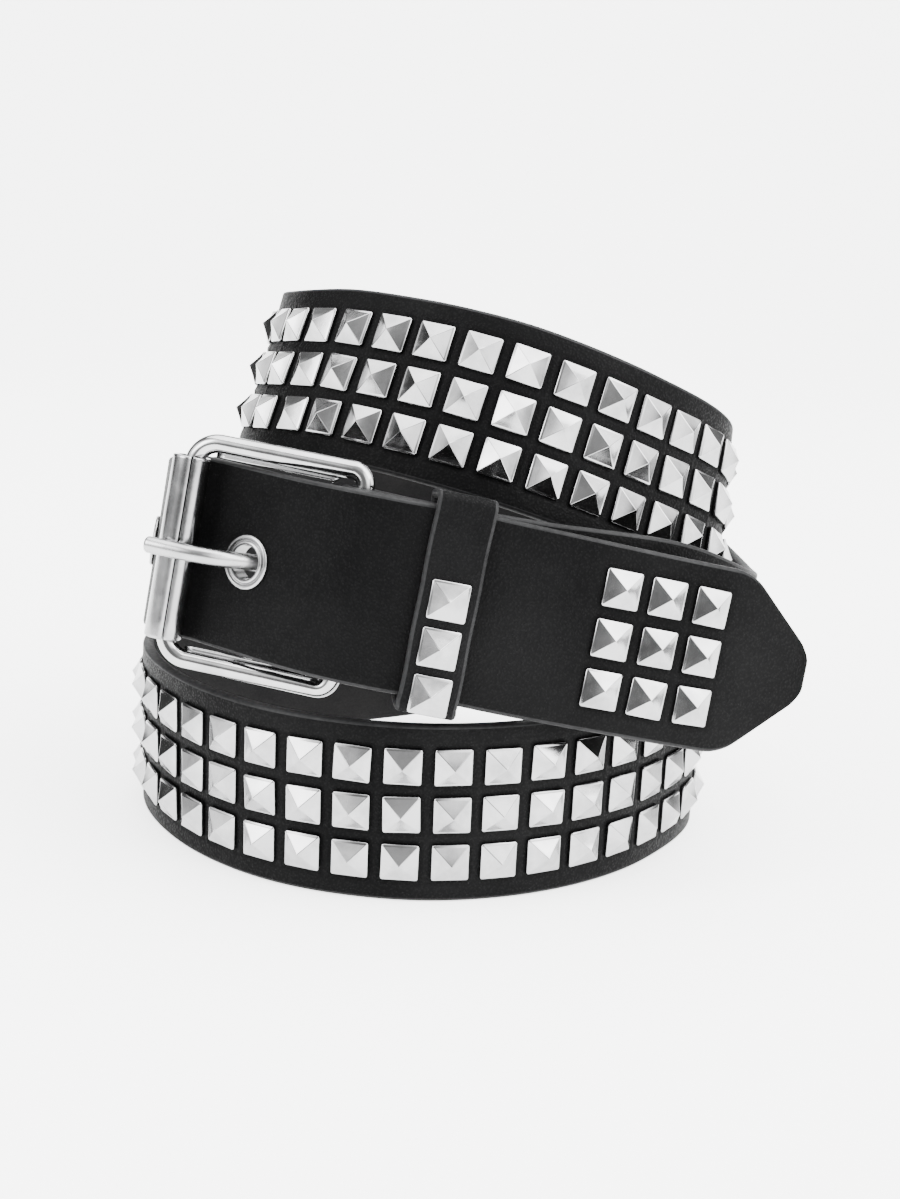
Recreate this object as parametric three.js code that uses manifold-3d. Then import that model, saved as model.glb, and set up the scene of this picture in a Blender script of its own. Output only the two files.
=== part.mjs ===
import * as THREE from 'three';
import { mergeVertices } from 'three/addons/utils/BufferGeometryUtils.js';
import Module from 'manifold-3d';

// A studded leather belt, fastened and coiled in three turns that stand on edge.
// Millimetres, +Z up. The fastened side with the buckle faces -Y.

// Leather strap
const strapWidth = 38;
const strapThickness = 2.6;
const leafFace = strapThickness / 2;
const pieceGap = 0.3;

// Coil: the turns are given as shares of this radius and of the strap's width
const coilRadius = 60;

// Roller buckle
const wireRadius = 1.9;
const frameHeight = 48.4;
const barAlong = 36;
const frameCornerRadius = 5.2;
const barCornerRadius = 2.9;
const rollerRadius = 3.5;
const rollerBore = 2.75;
const rollerLength = 37.6;
const rollerSeam = 0.7;
const rollerSeamAngle = 70;
const prongRadius = 1.65;
const prongOverhang = 4.6;
const prongLoopAngle = 150;

// Pyramid studs
const studSize = 7.8;
const studRim = 0.7;
const studHeight = 2.9;
const studPitch = 10;
const rowPitch = 10.2;
const studRows = 3;

// Free end, measured along the strap from the eyelet in use
const eyeletAlong = 15.4;
const eyeletToTip = 123.9;
const tipStudsFromEnd = 46.7;
const tipStudColumns = 3;
const tipFlankAngle = 39;
const tipNoseRadius = 9.4;
const tipShoulderRadius = 12;

// Eyelets
const eyeletBore = 3.5;
const eyeletBarrel = 4;
const eyeletFlange = 5.6;
const eyeletBackFlange = 5;
const eyeletRise = 0.8;
const eyeletLip = 0.5;
const eyeletBackGap = 0.7;
const eyeletPitch = 25;
const eyeletCount = 5;

// Fold of leather round the hidden bar, and the slot that lets the prong through
const foldLength = 40;
const foldClose = 16;
const slotWidth = 4.8;
const slotLength = 9.5;

// Keeper loop
const keeperFromBar = 21;
const keeperWidth = 12;
const keeperWall = 2;
const keeperSideGap = 0.9;
const keeperGap = 0.45;
const keeperBackGap = 0.9;
const keeperCorner = 1.5;
const keeperStudCount = 3;
const keeperStudPitch = 9.3;
const keeperStudMargin = 0.4;

// Where the studded stretch of the strap starts and ends
const firstStudAlong = 66.09;
const studsEndBeforeEyelets = 16;

// Share of the stud columns after which the strap is divided, at the back of the coil
const strapSeamShare = 0.54;

// Place and attitude of the buckle: the roller's middle, as shares of the coil's radius
// and of the strap's width, and the way the buckle's plane faces
const buckleAcrossShare = -0.842;
const buckleForwardShare = -0.667;
const buckleHeightShare = 1.797;
const buckleYawAngle = -12;
const bucklePitchAngle = 6.3;
const buckleRightSlope = 0.16;
const buckleBackSlope = 0.126;

// Steps between two rows of the path, length of a plain step, steps of the fold's inner
// leaf and round the bar, and the shares of tipReach at which the tip is cut
const rowSteps = 14;
const plainStep = 5;
const leafSteps = 12;
const foldBendSteps = 10;
const tipReach = 26;
const tipSteps = [1, 0.865, 0.77, 0.67, 0.58, 0.35, 0.14, 0.085, 0.045, 0.013];

// One row for each section of the coil, anticlockwise seen from above, from the right
// front to the left of the third turn. The angle is in degrees from +X, the radius is a
// share of coilRadius, the height of the strap's middle a share of strapWidth, and
// right and back say how far the strap's width slopes towards +X and +Y as it rises.
const coilSections = [
  { angle: -38, radius: 1.02, height: 1.437, right: 0.16, back: 0.19 },
  { angle: -18, radius: 1.142, height: 1.21, right: 0.13, back: 0.1 },
  { angle: 0, radius: 1.183, height: 1.09, right: 0.08, back: 0 },
  { angle: 30, radius: 1.208, height: 1.2, right: 0.06, back: 0.03 },
  { angle: 60, radius: 1.183, height: 1.6, right: 0.03, back: 0.06 },
  { angle: 90, radius: 1.09, height: 2.07, right: 0, back: 0 },
  { angle: 120, radius: 0.93, height: 2.45, right: 0.12, back: 0.15 },
  { angle: 150, radius: 0.775, height: 2.56, right: 0.25, back: 0.3 },
  { angle: 180, radius: 0.565, height: 2.642, right: 0.28, back: 0.36 },
  { angle: 210, radius: 0.435, height: 2.682, right: 0.28, back: 0.36 },
  { angle: 240, radius: 0.405, height: 2.676, right: 0.28, back: 0.36 },
  { angle: 270, radius: 0.45, height: 2.642, right: 0.28, back: 0.36 },
  { angle: 300, radius: 0.583, height: 2.545, right: 0.28, back: 0.36 },
  { angle: 330, radius: 0.788, height: 2.313, right: 0.28, back: 0.36 },
  { angle: 360, radius: 1.075, height: 1.939, right: 0.06, back: 0.3 },
  { angle: 390, radius: 1.07, height: 1.53, right: 0.02, back: 0.06 },
  { angle: 420, radius: 0.98, height: 0.99, right: 0.01, back: 0.02 },
  { angle: 450, radius: 0.957, height: 0.61, right: 0, back: 0 },
  { angle: 480, radius: 0.992, height: 0.5, right: 0, back: 0 },
  { angle: 510, radius: 1.045, height: 0.5, right: 0, back: 0 },
  { angle: 540, radius: 1.067, height: 0.5, right: 0, back: 0 },
  { angle: 570, radius: 0.99, height: 0.5, right: 0, back: 0 },
  { angle: 600, radius: 0.943, height: 0.5, right: 0, back: 0 },
  { angle: 630, radius: 0.913, height: 0.5, right: 0, back: 0 },
  { angle: 660, radius: 0.907, height: 0.5, right: 0, back: 0 },
  { angle: 690, radius: 0.948, height: 0.5, right: 0, back: 0 },
  { angle: 720, radius: 1.04, height: 0.5, right: 0, back: 0 },
  { angle: 750, radius: 0.93, height: 0.72, right: 0, back: 0 },
  { angle: 780, radius: 0.855, height: 1.08, right: 0, back: 0 },
  { angle: 810, radius: 0.83, height: 1.33, right: 0, back: 0 },
  { angle: 840, radius: 0.855, height: 1.4, right: 0.02, back: 0.02 },
  { angle: 870, radius: 0.945, height: 1.49, right: 0.07, back: 0.05 },
  { angle: 896, radius: 1.02, height: 1.57, right: 0.13, back: 0.1 },
];

const vec = (x, y, z) => new THREE.Vector3(x, y, z);
const mix = (a, b, t) => a + (b - a) * t;
const degrees = THREE.MathUtils.degToRad;

// The buckle's own axes: along the strap towards the tip, up its width, and outwards
const buckleAlongAxis = vec(
  Math.cos(degrees(bucklePitchAngle)) * Math.cos(degrees(buckleYawAngle)),
  Math.cos(degrees(bucklePitchAngle)) * Math.sin(degrees(buckleYawAngle)),
  -Math.sin(degrees(bucklePitchAngle)),
);
const buckleUpAxis = widthDirection(buckleAlongAxis, buckleRightSlope, buckleBackSlope);
const buckleOutAxis = buckleAlongAxis.clone().cross(buckleUpAxis);
const buckleOrigin = vec(
  buckleAcrossShare * coilRadius,
  buckleForwardShare * coilRadius,
  buckleHeightShare * strapWidth,
);

function widthDirection(along, right, back) {
  const up = vec(right, back, 1);
  return up.addScaledVector(along, -up.dot(along)).normalize();
}

function fromBuckle(along, up, out) {
  return buckleOrigin.clone()
    .addScaledVector(buckleAlongAxis, along)
    .addScaledVector(buckleUpAxis, up)
    .addScaledVector(buckleOutAxis, out);
}

// How far out of the buckle's plane the leather's middle lies where it is seated
const behindRoller = -(rollerRadius + pieceGap + leafFace);
const foldOut = wireRadius + pieceGap + leafFace;
const overBar = wireRadius + prongRadius * 2 + pieceGap * 3 + leafFace;
const leafPitch = strapThickness + pieceGap * 3;
const keeperAlong = barAlong + keeperFromBar;

// The free end between roller and bar: along is a share of barAlong, and rise runs from
// 0 behind the roller to 1 over the bar. Right and back are the width's slopes.
const risingSections = [
  { along: 0, rise: -0.04, right: 0.15, back: 0.12 },
  { along: 0.12, rise: 0.03, right: 0.155, back: 0.123 },
  { along: 0.226, rise: 0.155, right: 0.16, back: 0.126 },
  { along: 0.453, rise: 0.444, right: 0.16, back: 0.126 },
  { along: 0.726, rise: 0.765, right: 0.16, back: 0.126 },
];

// The free end past the bar, all as shares of strapWidth: along from the bar, up, and
// the drop of its middle from where it lies over the bar
const fallingSections = [
  { along: 0, up: 0.005, drop: 0, right: 0.16, back: 0.126 },
  { along: 0.265, up: 0.005, drop: 0.013, right: 0.16, back: 0.14 },
  { along: 0.553, up: 0.005, drop: 0.084, right: 0.17, back: 0.18 },
  { along: 0.921, up: -0.013, drop: 0.216, right: 0.18, back: 0.2 },
  { along: 1.421, up: -0.037, drop: 0.432, right: 0.17, back: 0.21 },
  { along: 1.895, up: -0.061, drop: 0.689, right: 0.15, back: 0.22 },
  { along: 2.474, up: -0.095, drop: 1.1, right: 0.14, back: 0.22 },
];

// Where the strap that leaves the hidden bar parts from the free end, past the keeper
const partingSection = { along: 0.921, up: 0.005, drop: 0.318, right: 0.18, back: 0.2 };

function risingRow({ along, rise, right, back }) {
  return buckleRow(along * barAlong, 0, mix(behindRoller, overBar, rise), right, back);
}

function fallingRow({ along, up, drop, right, back }, depth) {
  const out = overBar - drop * strapWidth - depth;
  return buckleRow(barAlong + along * strapWidth, up * strapWidth, out, right, back);
}

const freeEndRows = [
  ...risingSections.map(risingRow),
  ...fallingSections.map((section) => fallingRow(section, 0)),
];

const underFreeEndRows = [
  fallingRow(fallingSections[0], overBar - foldOut),
  fallingRow(fallingSections[1], leafPitch),
  fallingRow(fallingSections[2], leafPitch),
  fallingRow(partingSection, 0),
];

// Rows of numbers: place, then the two slopes of the strap's width
function buckleRow(along, up, out, right, back) {
  return [...fromBuckle(along, up, out).toArray(), right, back];
}

function coilRow({ angle, radius, height, right, back }) {
  const reach = radius * coilRadius;
  const turn = degrees(angle);
  return [reach * Math.cos(turn), reach * Math.sin(turn), height * strapWidth, right, back];
}

// A smooth run through the rows: centripetal Catmull-Rom
function smoothRows(rows, steps) {
  const last = rows.length - 1;
  const beyond = (a, b) => a.map((value, i) => 2 * value - b[i]);
  const all = [beyond(rows[0], rows[1]), ...rows, beyond(rows[last], rows[last - 1])];
  const span = (a, b) => Math.sqrt(Math.hypot(b[0] - a[0], b[1] - a[1], b[2] - a[2]));
  const slope = (a, b, c, ab, bc) => (b - a) / ab - (c - a) / (ab + bc) + (c - b) / bc;
  const result = [];
  for (let i = 1; i <= last; i += 1) {
    const [p0, p1, p2, p3] = all.slice(i - 1, i + 3);
    const d0 = span(p0, p1);
    const d1 = span(p1, p2);
    const d2 = span(p2, p3);
    for (let step = 0; step < steps; step += 1) {
      const t = step / steps;
      const start = 2 * t ** 3 - 3 * t ** 2 + 1;
      const leave = t ** 3 - 2 * t ** 2 + t;
      const arrive = t ** 3 - t ** 2;
      result.push(p1.map((value, k) => {
        const slope1 = slope(p0[k], value, p2[k], d0, d1) * d1;
        const slope2 = slope(value, p2[k], p3[k], d1, d2) * d1;
        return start * value + leave * slope1 + (1 - start) * p2[k] + arrive * slope2;
      }));
    }
  }
  result.push(rows[last]);
  return result;
}

// The strap's middle line, with its length from the hidden bar at each point
const pathRows = smoothRows([...underFreeEndRows, ...coilSections.map(coilRow), ...freeEndRows], rowSteps);

// The lowest turn stands flat on its edge
for (const row of pathRows) row[2] = Math.max(row[2], strapWidth / 2);

const pathPoints = pathRows.map((row) => vec(row[0], row[1], row[2]));
const pathLengths = [0];
for (let i = 1; i < pathPoints.length; i += 1) {
  pathLengths.push(pathLengths[i - 1] + pathPoints[i].distanceTo(pathPoints[i - 1]));
}

// Place and axes of the strap at a length: along, up the width, and outwards
function strapAt(length) {
  let i = 1;
  while (i < pathLengths.length - 1 && pathLengths[i] < length) i += 1;
  const t = (length - pathLengths[i - 1]) / (pathLengths[i] - pathLengths[i - 1]);
  const tangent = (k) => {
    const before = pathPoints[Math.max(k - 1, 0)];
    const after = pathPoints[Math.min(k + 1, pathPoints.length - 1)];
    return after.clone().sub(before).normalize();
  };
  const along = tangent(i - 1).lerp(tangent(i), t).normalize();
  const place = pathPoints[i - 1].clone().lerp(pathPoints[i], t);
  const right = mix(pathRows[i - 1][3], pathRows[i][3], t);
  const back = mix(pathRows[i - 1][4], pathRows[i][4], t);
  const up = widthDirection(along, right, back);
  const out = along.clone().cross(up);
  return { place, along, up, out };
}

// Length at which the free end has come so far along the buckle
function lengthAtBuckle(along) {
  const reach = (k) => pathPoints[k].clone().sub(buckleOrigin).dot(buckleAlongAxis);
  let i = pathPoints.length - 1;
  while (reach(i - 1) > along) i -= 1;
  const t = (along - reach(i - 1)) / (reach(i) - reach(i - 1));
  return mix(pathLengths[i - 1], pathLengths[i], t);
}

const eyeletLength = lengthAtBuckle(eyeletAlong);
const keeperLength = lengthAtBuckle(keeperAlong);
const tipLength = eyeletLength + eyeletToTip;
const studsEnd = eyeletLength - (eyeletCount - 1) * eyeletPitch - studsEndBeforeEyelets;
const studColumns = Math.floor((studsEnd - firstStudAlong) / studPitch) + 1;

// Half the strap's width at a distance from the tip: round nose, straight flank, shoulder
function tipHalfWidth(distance) {
  const half = strapWidth / 2;
  const flank = degrees(tipFlankAngle);
  const noseEnd = tipNoseRadius * (1 - Math.sin(flank));
  const noseHalf = tipNoseRadius * Math.cos(flank);
  const corner = noseEnd + (half - noseHalf) / Math.tan(flank);
  const bend = tipShoulderRadius * Math.tan(flank / 2);
  const shoulderStart = corner - bend * Math.cos(flank);
  if (distance < noseEnd) {
    return Math.sqrt(tipNoseRadius ** 2 - (tipNoseRadius - distance) ** 2);
  }
  if (distance < shoulderStart) {
    return noseHalf + (distance - noseEnd) * Math.tan(flank);
  }
  const past = Math.min(distance - corner - bend, 0);
  return half - tipShoulderRadius + Math.sqrt(tipShoulderRadius ** 2 - past ** 2);
}

// Sections of the whole strap: the fold's inner leaf, round the bar, then to the tip.
// A section that opens a column of studs says so.
function strapSections() {
  const sections = [];
  const half = strapWidth / 2;
  for (let i = 0; i < leafSteps; i += 1) {
    const length = foldLength * (1 - i / leafSteps);
    const at = strapAt(length);
    const close = THREE.MathUtils.smoothstep(length, 0, foldClose);
    const offset = mix(foldOut * 2, leafPitch, close);
    const place = at.place.addScaledVector(at.out, -offset);
    sections.push({ place, up: at.up, out: at.out.negate(), half });
  }
  const start = strapAt(0);
  const bar = start.place.clone().addScaledVector(start.out, -foldOut);
  for (let i = 0; i < foldBendSteps; i += 1) {
    const turn = Math.PI * (i / foldBendSteps);
    const out = start.out.clone().multiplyScalar(-Math.cos(turn));
    out.addScaledVector(start.along, -Math.sin(turn));
    sections.push({ place: bar.clone().addScaledVector(out, foldOut), up: start.up, out, half });
  }
  const studsFrom = firstStudAlong - studPitch / 2;
  const studsTo = studsFrom + studColumns * studPitch;
  const shoulder = tipLength - tipReach;
  const lengths = [
    ...evenSteps(0, studsFrom, plainStep),
    ...evenSteps(studsFrom, studsTo, studPitch),
    ...evenSteps(studsTo, shoulder, plainStep),
    ...tipSteps.map((share) => tipLength - share * tipReach),
  ];
  for (const length of lengths) {
    const column = length > studsFrom - plainStep / 2 && length < studsTo - studPitch / 2;
    sections.push({ ...strapAt(length), half: tipHalfWidth(tipLength - length), length, column });
  }
  return sections;
}

function evenSteps(from, to, step) {
  const count = Math.max(Math.round((to - from) / step), 1);
  return Array.from({ length: count }, (_, i) => mix(from, to, i / count));
}

// The four corners of a section: outer top, outer bottom, inner bottom, inner top
function sectionCorners({ place, up, out, half }) {
  return [[1, 1], [1, -1], [-1, -1], [-1, 1]].map(([side, edge]) => place.clone()
    .addScaledVector(out, (side * strapThickness) / 2)
    .addScaledVector(up, edge * half));
}

// A closed solid through the sections, with studs where a section opens a column
function strapBody(sections) {
  const triangles = [];
  const quad = (a, b, c, d) => triangles.push(a, b, c, a, c, d);
  const corners = sections.map(sectionCorners);
  for (let i = 0; i < sections.length - 1; i += 1) {
    const near = corners[i];
    const far = corners[i + 1];
    for (let j = 0; j < 4; j += 1) {
      const next = (j + 1) % 4;
      if (j === 0 && sections[i].column) {
        triangles.push(...studColumn(sections[i].length, [near[1], far[1], far[0], near[0]]));
      } else {
        quad(near[j], near[next], far[next], far[j]);
      }
    }
  }
  const [first, last] = [corners[0], corners[corners.length - 1]];
  quad(first[3], first[2], first[1], first[0]);
  quad(last[0], last[1], last[2], last[3]);
  return new THREE.BufferGeometry().setFromPoints(triangles);
}

// One column of the outer face: leather pierced by the studs, and the studs themselves
function studColumn(length, outline) {
  const half = strapWidth / 2;
  const reach = studSize / 2;
  const middle = length + studPitch / 2;
  const contour = [
    new THREE.Vector2(0, -half),
    new THREE.Vector2(studPitch, -half),
    new THREE.Vector2(studPitch, half),
    new THREE.Vector2(0, half),
  ];
  const holes = [];
  const points = [...outline];
  const triangles = [];
  const at = strapAt(middle);
  for (let row = 0; row < studRows; row += 1) {
    const up = rowHeight(row);
    const square = [[-reach, -reach], [reach, -reach], [reach, reach], [-reach, reach]];
    const base = square.map(([x, y]) => strapFace(middle + x, up + y));
    const rim = square.map(([x, y]) => onSection(at, x, up + y, leafFace + studRim));
    const apex = onSection(at, 0, up, leafFace + studHeight);
    for (let i = 0; i < 4; i += 1) {
      const next = (i + 1) % 4;
      triangles.push(base[i], base[next], rim[next], base[i], rim[next], rim[i]);
      triangles.push(rim[i], rim[next], apex);
    }
    holes.push(square.map(([x, y]) => new THREE.Vector2(x + studPitch / 2, up + y)).reverse());
    points.push(...[...base].reverse());
  }
  for (const face of THREE.ShapeUtils.triangulateShape(contour, holes)) {
    triangles.push(...face.map((i) => points[i]));
  }
  return triangles;
}

function rowHeight(row) {
  return ((studRows - 1) / 2 - row) * rowPitch;
}

function onSection(at, along, up, out) {
  return at.place.clone()
    .addScaledVector(at.along, along)
    .addScaledVector(at.up, up)
    .addScaledVector(at.out, out);
}

function strapFace(length, up) {
  return onSection(strapAt(length), 0, up, leafFace);
}

const wasm = await Module();
wasm.setup();

function toSolid(geometry) {
  const bare = geometry.clone();
  bare.deleteAttribute('normal');
  bare.deleteAttribute('uv');
  const merged = mergeVertices(bare, 1e-4);
  return new wasm.Manifold(new wasm.Mesh({
    numProp: 3,
    vertProperties: new Float32Array(merged.attributes.position.array),
    triVerts: new Uint32Array(merged.index.array),
  }));
}

function toGeometry(solid) {
  const mesh = solid.getMesh();
  const geometry = new THREE.BufferGeometry();
  geometry.setAttribute('position', new THREE.BufferAttribute(new Float32Array(mesh.vertProperties), 3));
  geometry.setIndex(new THREE.BufferAttribute(new Uint32Array(mesh.triVerts), 1));
  geometry.computeVertexNormals();
  return geometry;
}

// Turns a shape made about +Y so that +Y points outwards from the strap
function seat(geometry, at, up, out) {
  const basis = new THREE.Matrix4().makeBasis(at.along, at.out, at.up.clone().negate());
  const place = at.place.clone().addScaledVector(at.up, up).addScaledVector(at.out, out);
  basis.setPosition(place);
  return geometry.applyMatrix4(basis);
}

// A square pyramid on a low upright rim, its base at y = 0
function pyramidStud() {
  const corner = studSize / Math.SQRT2;
  const profile = [
    new THREE.Vector2(0, 0),
    new THREE.Vector2(corner, 0),
    new THREE.Vector2(corner, studRim),
    new THREE.Vector2(0, studHeight),
  ];
  return new THREE.LatheGeometry(profile, 4, Math.PI / 4);
}

function leatherMaterial(color, roughness) {
  return new THREE.MeshStandardMaterial({ color, roughness, metalness: 0 });
}

function metalMaterial(color, roughness) {
  return new THREE.MeshStandardMaterial({ color, roughness, metalness: 1 });
}

function piece(name, geometry, material) {
  const mesh = new THREE.Mesh(geometry, material);
  mesh.name = name;
  return mesh;
}

const eyeletLengths = Array.from({ length: eyeletCount }, (_, i) => eyeletLength - i * eyeletPitch);

// The strap in two bodies that meet between two columns of studs
function strapPieces() {
  const sections = strapSections();
  const seam = sections.findIndex(({ column }) => column) + Math.round(studColumns * strapSeamShare);
  const { length } = sections[seam];
  const ending = { ...sections[seam], ...strapAt(length - pieceGap / 2) };
  const opening = { ...sections[seam], ...strapAt(length + pieceGap / 2) };
  return [
    strapPiece('strap_bar_half', [...sections.slice(0, seam), ending]),
    strapPiece('strap_tip_half', [opening, ...sections.slice(seam + 1)]),
  ];
}

// One body of the strap with its eyelet holes, its prong slot and its field of studs
function strapPiece(name, sections) {
  let solid = toSolid(strapBody(sections));
  const holeRadius = eyeletBarrel + pieceGap;
  const holeReach = strapThickness;
  const holeProfile = [
    new THREE.Vector2(0, -holeReach),
    new THREE.Vector2(holeRadius, -holeReach),
    new THREE.Vector2(holeRadius, holeReach),
    new THREE.Vector2(0, holeReach),
  ];
  for (const length of eyeletLengths) {
    const hole = seat(new THREE.LatheGeometry(holeProfile, 16), strapAt(length), 0, 0);
    solid = solid.subtract(toSolid(hole));
  }
  solid = solid.subtract(toSolid(prongSlot()));
  return piece(name, toGeometry(solid), leatherMaterial(0x1c1c1d, 0.55));
}

// The slot through both leaves of the fold, round the hidden bar
function prongSlot() {
  const reach = foldOut + leafFace + pieceGap * 2;
  const outline = new THREE.Shape();
  outline.moveTo(slotLength, -reach);
  outline.lineTo(slotLength, reach);
  outline.lineTo(0, reach);
  outline.absarc(0, 0, reach, Math.PI / 2, Math.PI * 1.5, false);
  const options = { depth: slotWidth, bevelEnabled: false, curveSegments: foldBendSteps };
  const slot = new THREE.ExtrudeGeometry(outline, options);
  slot.translate(0, 0, -slotWidth / 2);
  return inBuckle(slot, barAlong, 0);
}

// Moves a shape drawn in the buckle's plane section (x along, y out, z down the width)
function inBuckle(geometry, along, up) {
  const basis = new THREE.Matrix4().makeBasis(buckleAlongAxis, buckleOutAxis, buckleUpAxis.clone().negate());
  basis.setPosition(fromBuckle(along, up, 0));
  return geometry.applyMatrix4(basis);
}

function round(radius, sides) {
  const outline = new THREE.Shape();
  for (let i = 0; i < sides; i += 1) {
    const turn = (2 * Math.PI * i) / sides;
    if (i === 0) outline.moveTo(radius, 0);
    else outline.lineTo(radius * Math.cos(turn), radius * Math.sin(turn));
  }
  return outline;
}

// Bent wire frame: a rounded rectangle whose ends meet inside the roller
function framePiece() {
  const half = frameHeight / 2 - wireRadius;
  const joint = pieceGap / 2;
  const path = new THREE.CurvePath();
  const line = (x1, y1, x2, y2) => path.add(new THREE.LineCurve3(vec(x1, y1, 0), vec(x2, y2, 0)));
  const corner = (x, y, r, from) => {
    const steps = 6;
    for (let i = 0; i < steps; i += 1) {
      const a = degrees(from + (90 * i) / steps);
      const b = degrees(from + (90 * (i + 1)) / steps);
      line(x + r * Math.cos(a), y + r * Math.sin(a), x + r * Math.cos(b), y + r * Math.sin(b));
    }
  };
  const free = frameCornerRadius;
  const tight = barCornerRadius;
  line(0, -joint, 0, -half + free);
  corner(free, -half + free, free, 180);
  line(free, -half, barAlong - tight, -half);
  corner(barAlong - tight, -half + tight, tight, 270);
  line(barAlong, -half + tight, barAlong, half - tight);
  corner(barAlong - tight, half - tight, tight, 0);
  line(barAlong - tight, half, free, half);
  corner(free, half - free, free, 90);
  line(0, half - free, 0, joint);
  const points = [path.curves[0].v1, ...path.curves.map((curve) => curve.v2)];
  return piece('buckle_frame', buckleTube(points, wireRadius, 10), metalMaterial(0xc9cacb, 0.22));
}

// A round wire through points of the buckle's plane: x along, y up, z out
function buckleTube(points, radius, sides) {
  const tube = tubeThrough(points, radius, sides);
  const basis = new THREE.Matrix4().makeBasis(buckleAlongAxis, buckleUpAxis, buckleOutAxis);
  basis.setPosition(buckleOrigin);
  return tube.applyMatrix4(basis);
}

// A curve that gives back exactly the points it is made of, one for each step
class PointCurve extends THREE.Curve {
  constructor(points) {
    super();
    this.points = points;
  }

  getPoint(t) {
    const place = t * (this.points.length - 1);
    const i = Math.min(Math.floor(place), this.points.length - 2);
    return this.points[i].clone().lerp(this.points[i + 1], place - i);
  }

  getPointAt(t) {
    return this.getPoint(t);
  }

  getTangentAt(t) {
    const place = Math.round(t * (this.points.length - 1));
    const before = this.points[Math.max(place - 1, 0)];
    const after = this.points[Math.min(place + 1, this.points.length - 1)];
    return after.clone().sub(before).normalize();
  }
}

function tubeThrough(points, radius, sides) {
  return new THREE.ExtrudeGeometry(round(radius, sides), {
    steps: points.length - 1,
    extrudePath: new PointCurve(points),
    bevelEnabled: false,
  });
}

// Rolled sheet tube on the frame's left bar, with its open seam
function rollerPiece() {
  const halfSeam = rollerSeam / 2 / rollerRadius;
  const seamAt = degrees(rollerSeamAngle);
  const sides = 24;
  const outline = new THREE.Shape();
  const arc = (radius, from, to, start) => {
    for (let i = 0; i <= sides; i += 1) {
      const turn = mix(from, to, i / sides);
      if (start && i === 0) outline.moveTo(radius * Math.cos(turn), radius * Math.sin(turn));
      else outline.lineTo(radius * Math.cos(turn), radius * Math.sin(turn));
    }
  };
  arc(rollerRadius, seamAt + halfSeam, seamAt + 2 * Math.PI - halfSeam, true);
  arc(rollerBore, seamAt + 2 * Math.PI - halfSeam, seamAt + halfSeam, false);
  const tube = new THREE.ExtrudeGeometry(outline, { depth: rollerLength, bevelEnabled: false });
  tube.translate(0, 0, -rollerLength / 2);
  return piece('buckle_roller', inBuckle(tube, 0, 0), metalMaterial(0xc4c5c6, 0.3));
}

// Prong in front of the free end: along is a share of eyeletAlong, out a share of the
// height at which it rests on the roller
const prongInFront = [
  { along: 0.36, out: 0.99 },
  { along: 0.66, out: 0.708 },
  { along: 1, out: 0.019 },
];

// Prong behind the free end: along is a share of the way from eyelet to bar, depth a
// share of the radius of its loop round the bar
const prongBehind = [
  { along: 0.254, depth: 1.02 },
  { along: 0.482, depth: 1.343 },
  { along: 0.797, depth: 1.129 },
  { along: 1, depth: 1 },
];

// Prong: a loop round the hidden bar, up through the eyelet and over the roller
function prongPiece() {
  const loop = wireRadius + pieceGap + prongRadius;
  const rest = rollerRadius + pieceGap + prongRadius;
  const knots = [
    vec(-prongOverhang, 0, rest - pieceGap),
    vec(0, 0, rest),
    ...prongInFront.map(({ along, out }) => vec(along * eyeletAlong, 0, out * rest)),
    ...prongBehind.map(({ along, depth }) => vec(mix(eyeletAlong, barAlong, along), 0, -depth * loop)),
  ];
  const curve = new THREE.CatmullRomCurve3(knots, false, 'centripetal');
  const points = curve.getPoints(20);
  const bends = 10;
  for (let i = 1; i <= bends; i += 1) {
    const turn = degrees(mix(-90, prongLoopAngle, i / bends));
    points.push(vec(barAlong + loop * Math.cos(turn), 0, loop * Math.sin(turn)));
  }
  return piece('buckle_prong', buckleTube(points, prongRadius, 8), metalMaterial(0xc9cacb, 0.2));
}

// Eyelet: flange in front, barrel through the leather, a smaller flange behind
function eyeletPiece(name, length) {
  const front = leafFace + pieceGap;
  const back = -leafFace - eyeletBackGap;
  const profile = [
    [eyeletBore, back + eyeletLip],
    [eyeletBore + eyeletLip, back - eyeletLip],
    [eyeletBackFlange, back - eyeletLip],
    [eyeletBackFlange, back],
    [eyeletBarrel, back],
    [eyeletBarrel, front],
    [eyeletFlange, front],
    [eyeletFlange, front + eyeletRise * 0.4],
    [eyeletFlange - eyeletLip, front + eyeletRise],
    [eyeletBore + eyeletLip, front + eyeletRise],
    [eyeletBore, front + eyeletRise * 0.2],
    [eyeletBore, back + eyeletLip],
  ].map(([x, y]) => new THREE.Vector2(x, y));
  const ring = seat(new THREE.LatheGeometry(profile, 16), strapAt(length), 0, 0);
  return piece(name, ring, metalMaterial(0xb9babb, 0.3));
}

// Keeper: a leather band round the free end, the strap and the fold's inner leaf
const keeperOut = leafFace + keeperGap;
const keeperIn = -leafPitch * 2 - leafFace - keeperBackGap;
const keeperHalfHeight = strapWidth / 2 + keeperSideGap + keeperWall;

function roundedBox(outline, left, right, half, radius) {
  outline.moveTo(left + radius, -half);
  outline.lineTo(right - radius, -half);
  outline.absarc(right - radius, -half + radius, radius, -Math.PI / 2, 0, false);
  outline.lineTo(right, half - radius);
  outline.absarc(right - radius, half - radius, radius, 0, Math.PI / 2, false);
  outline.lineTo(left + radius, half);
  outline.absarc(left + radius, half - radius, radius, Math.PI / 2, Math.PI, false);
  outline.lineTo(left, -half + radius);
  outline.absarc(left + radius, -half + radius, radius, Math.PI, Math.PI * 1.5, false);
}

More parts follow.
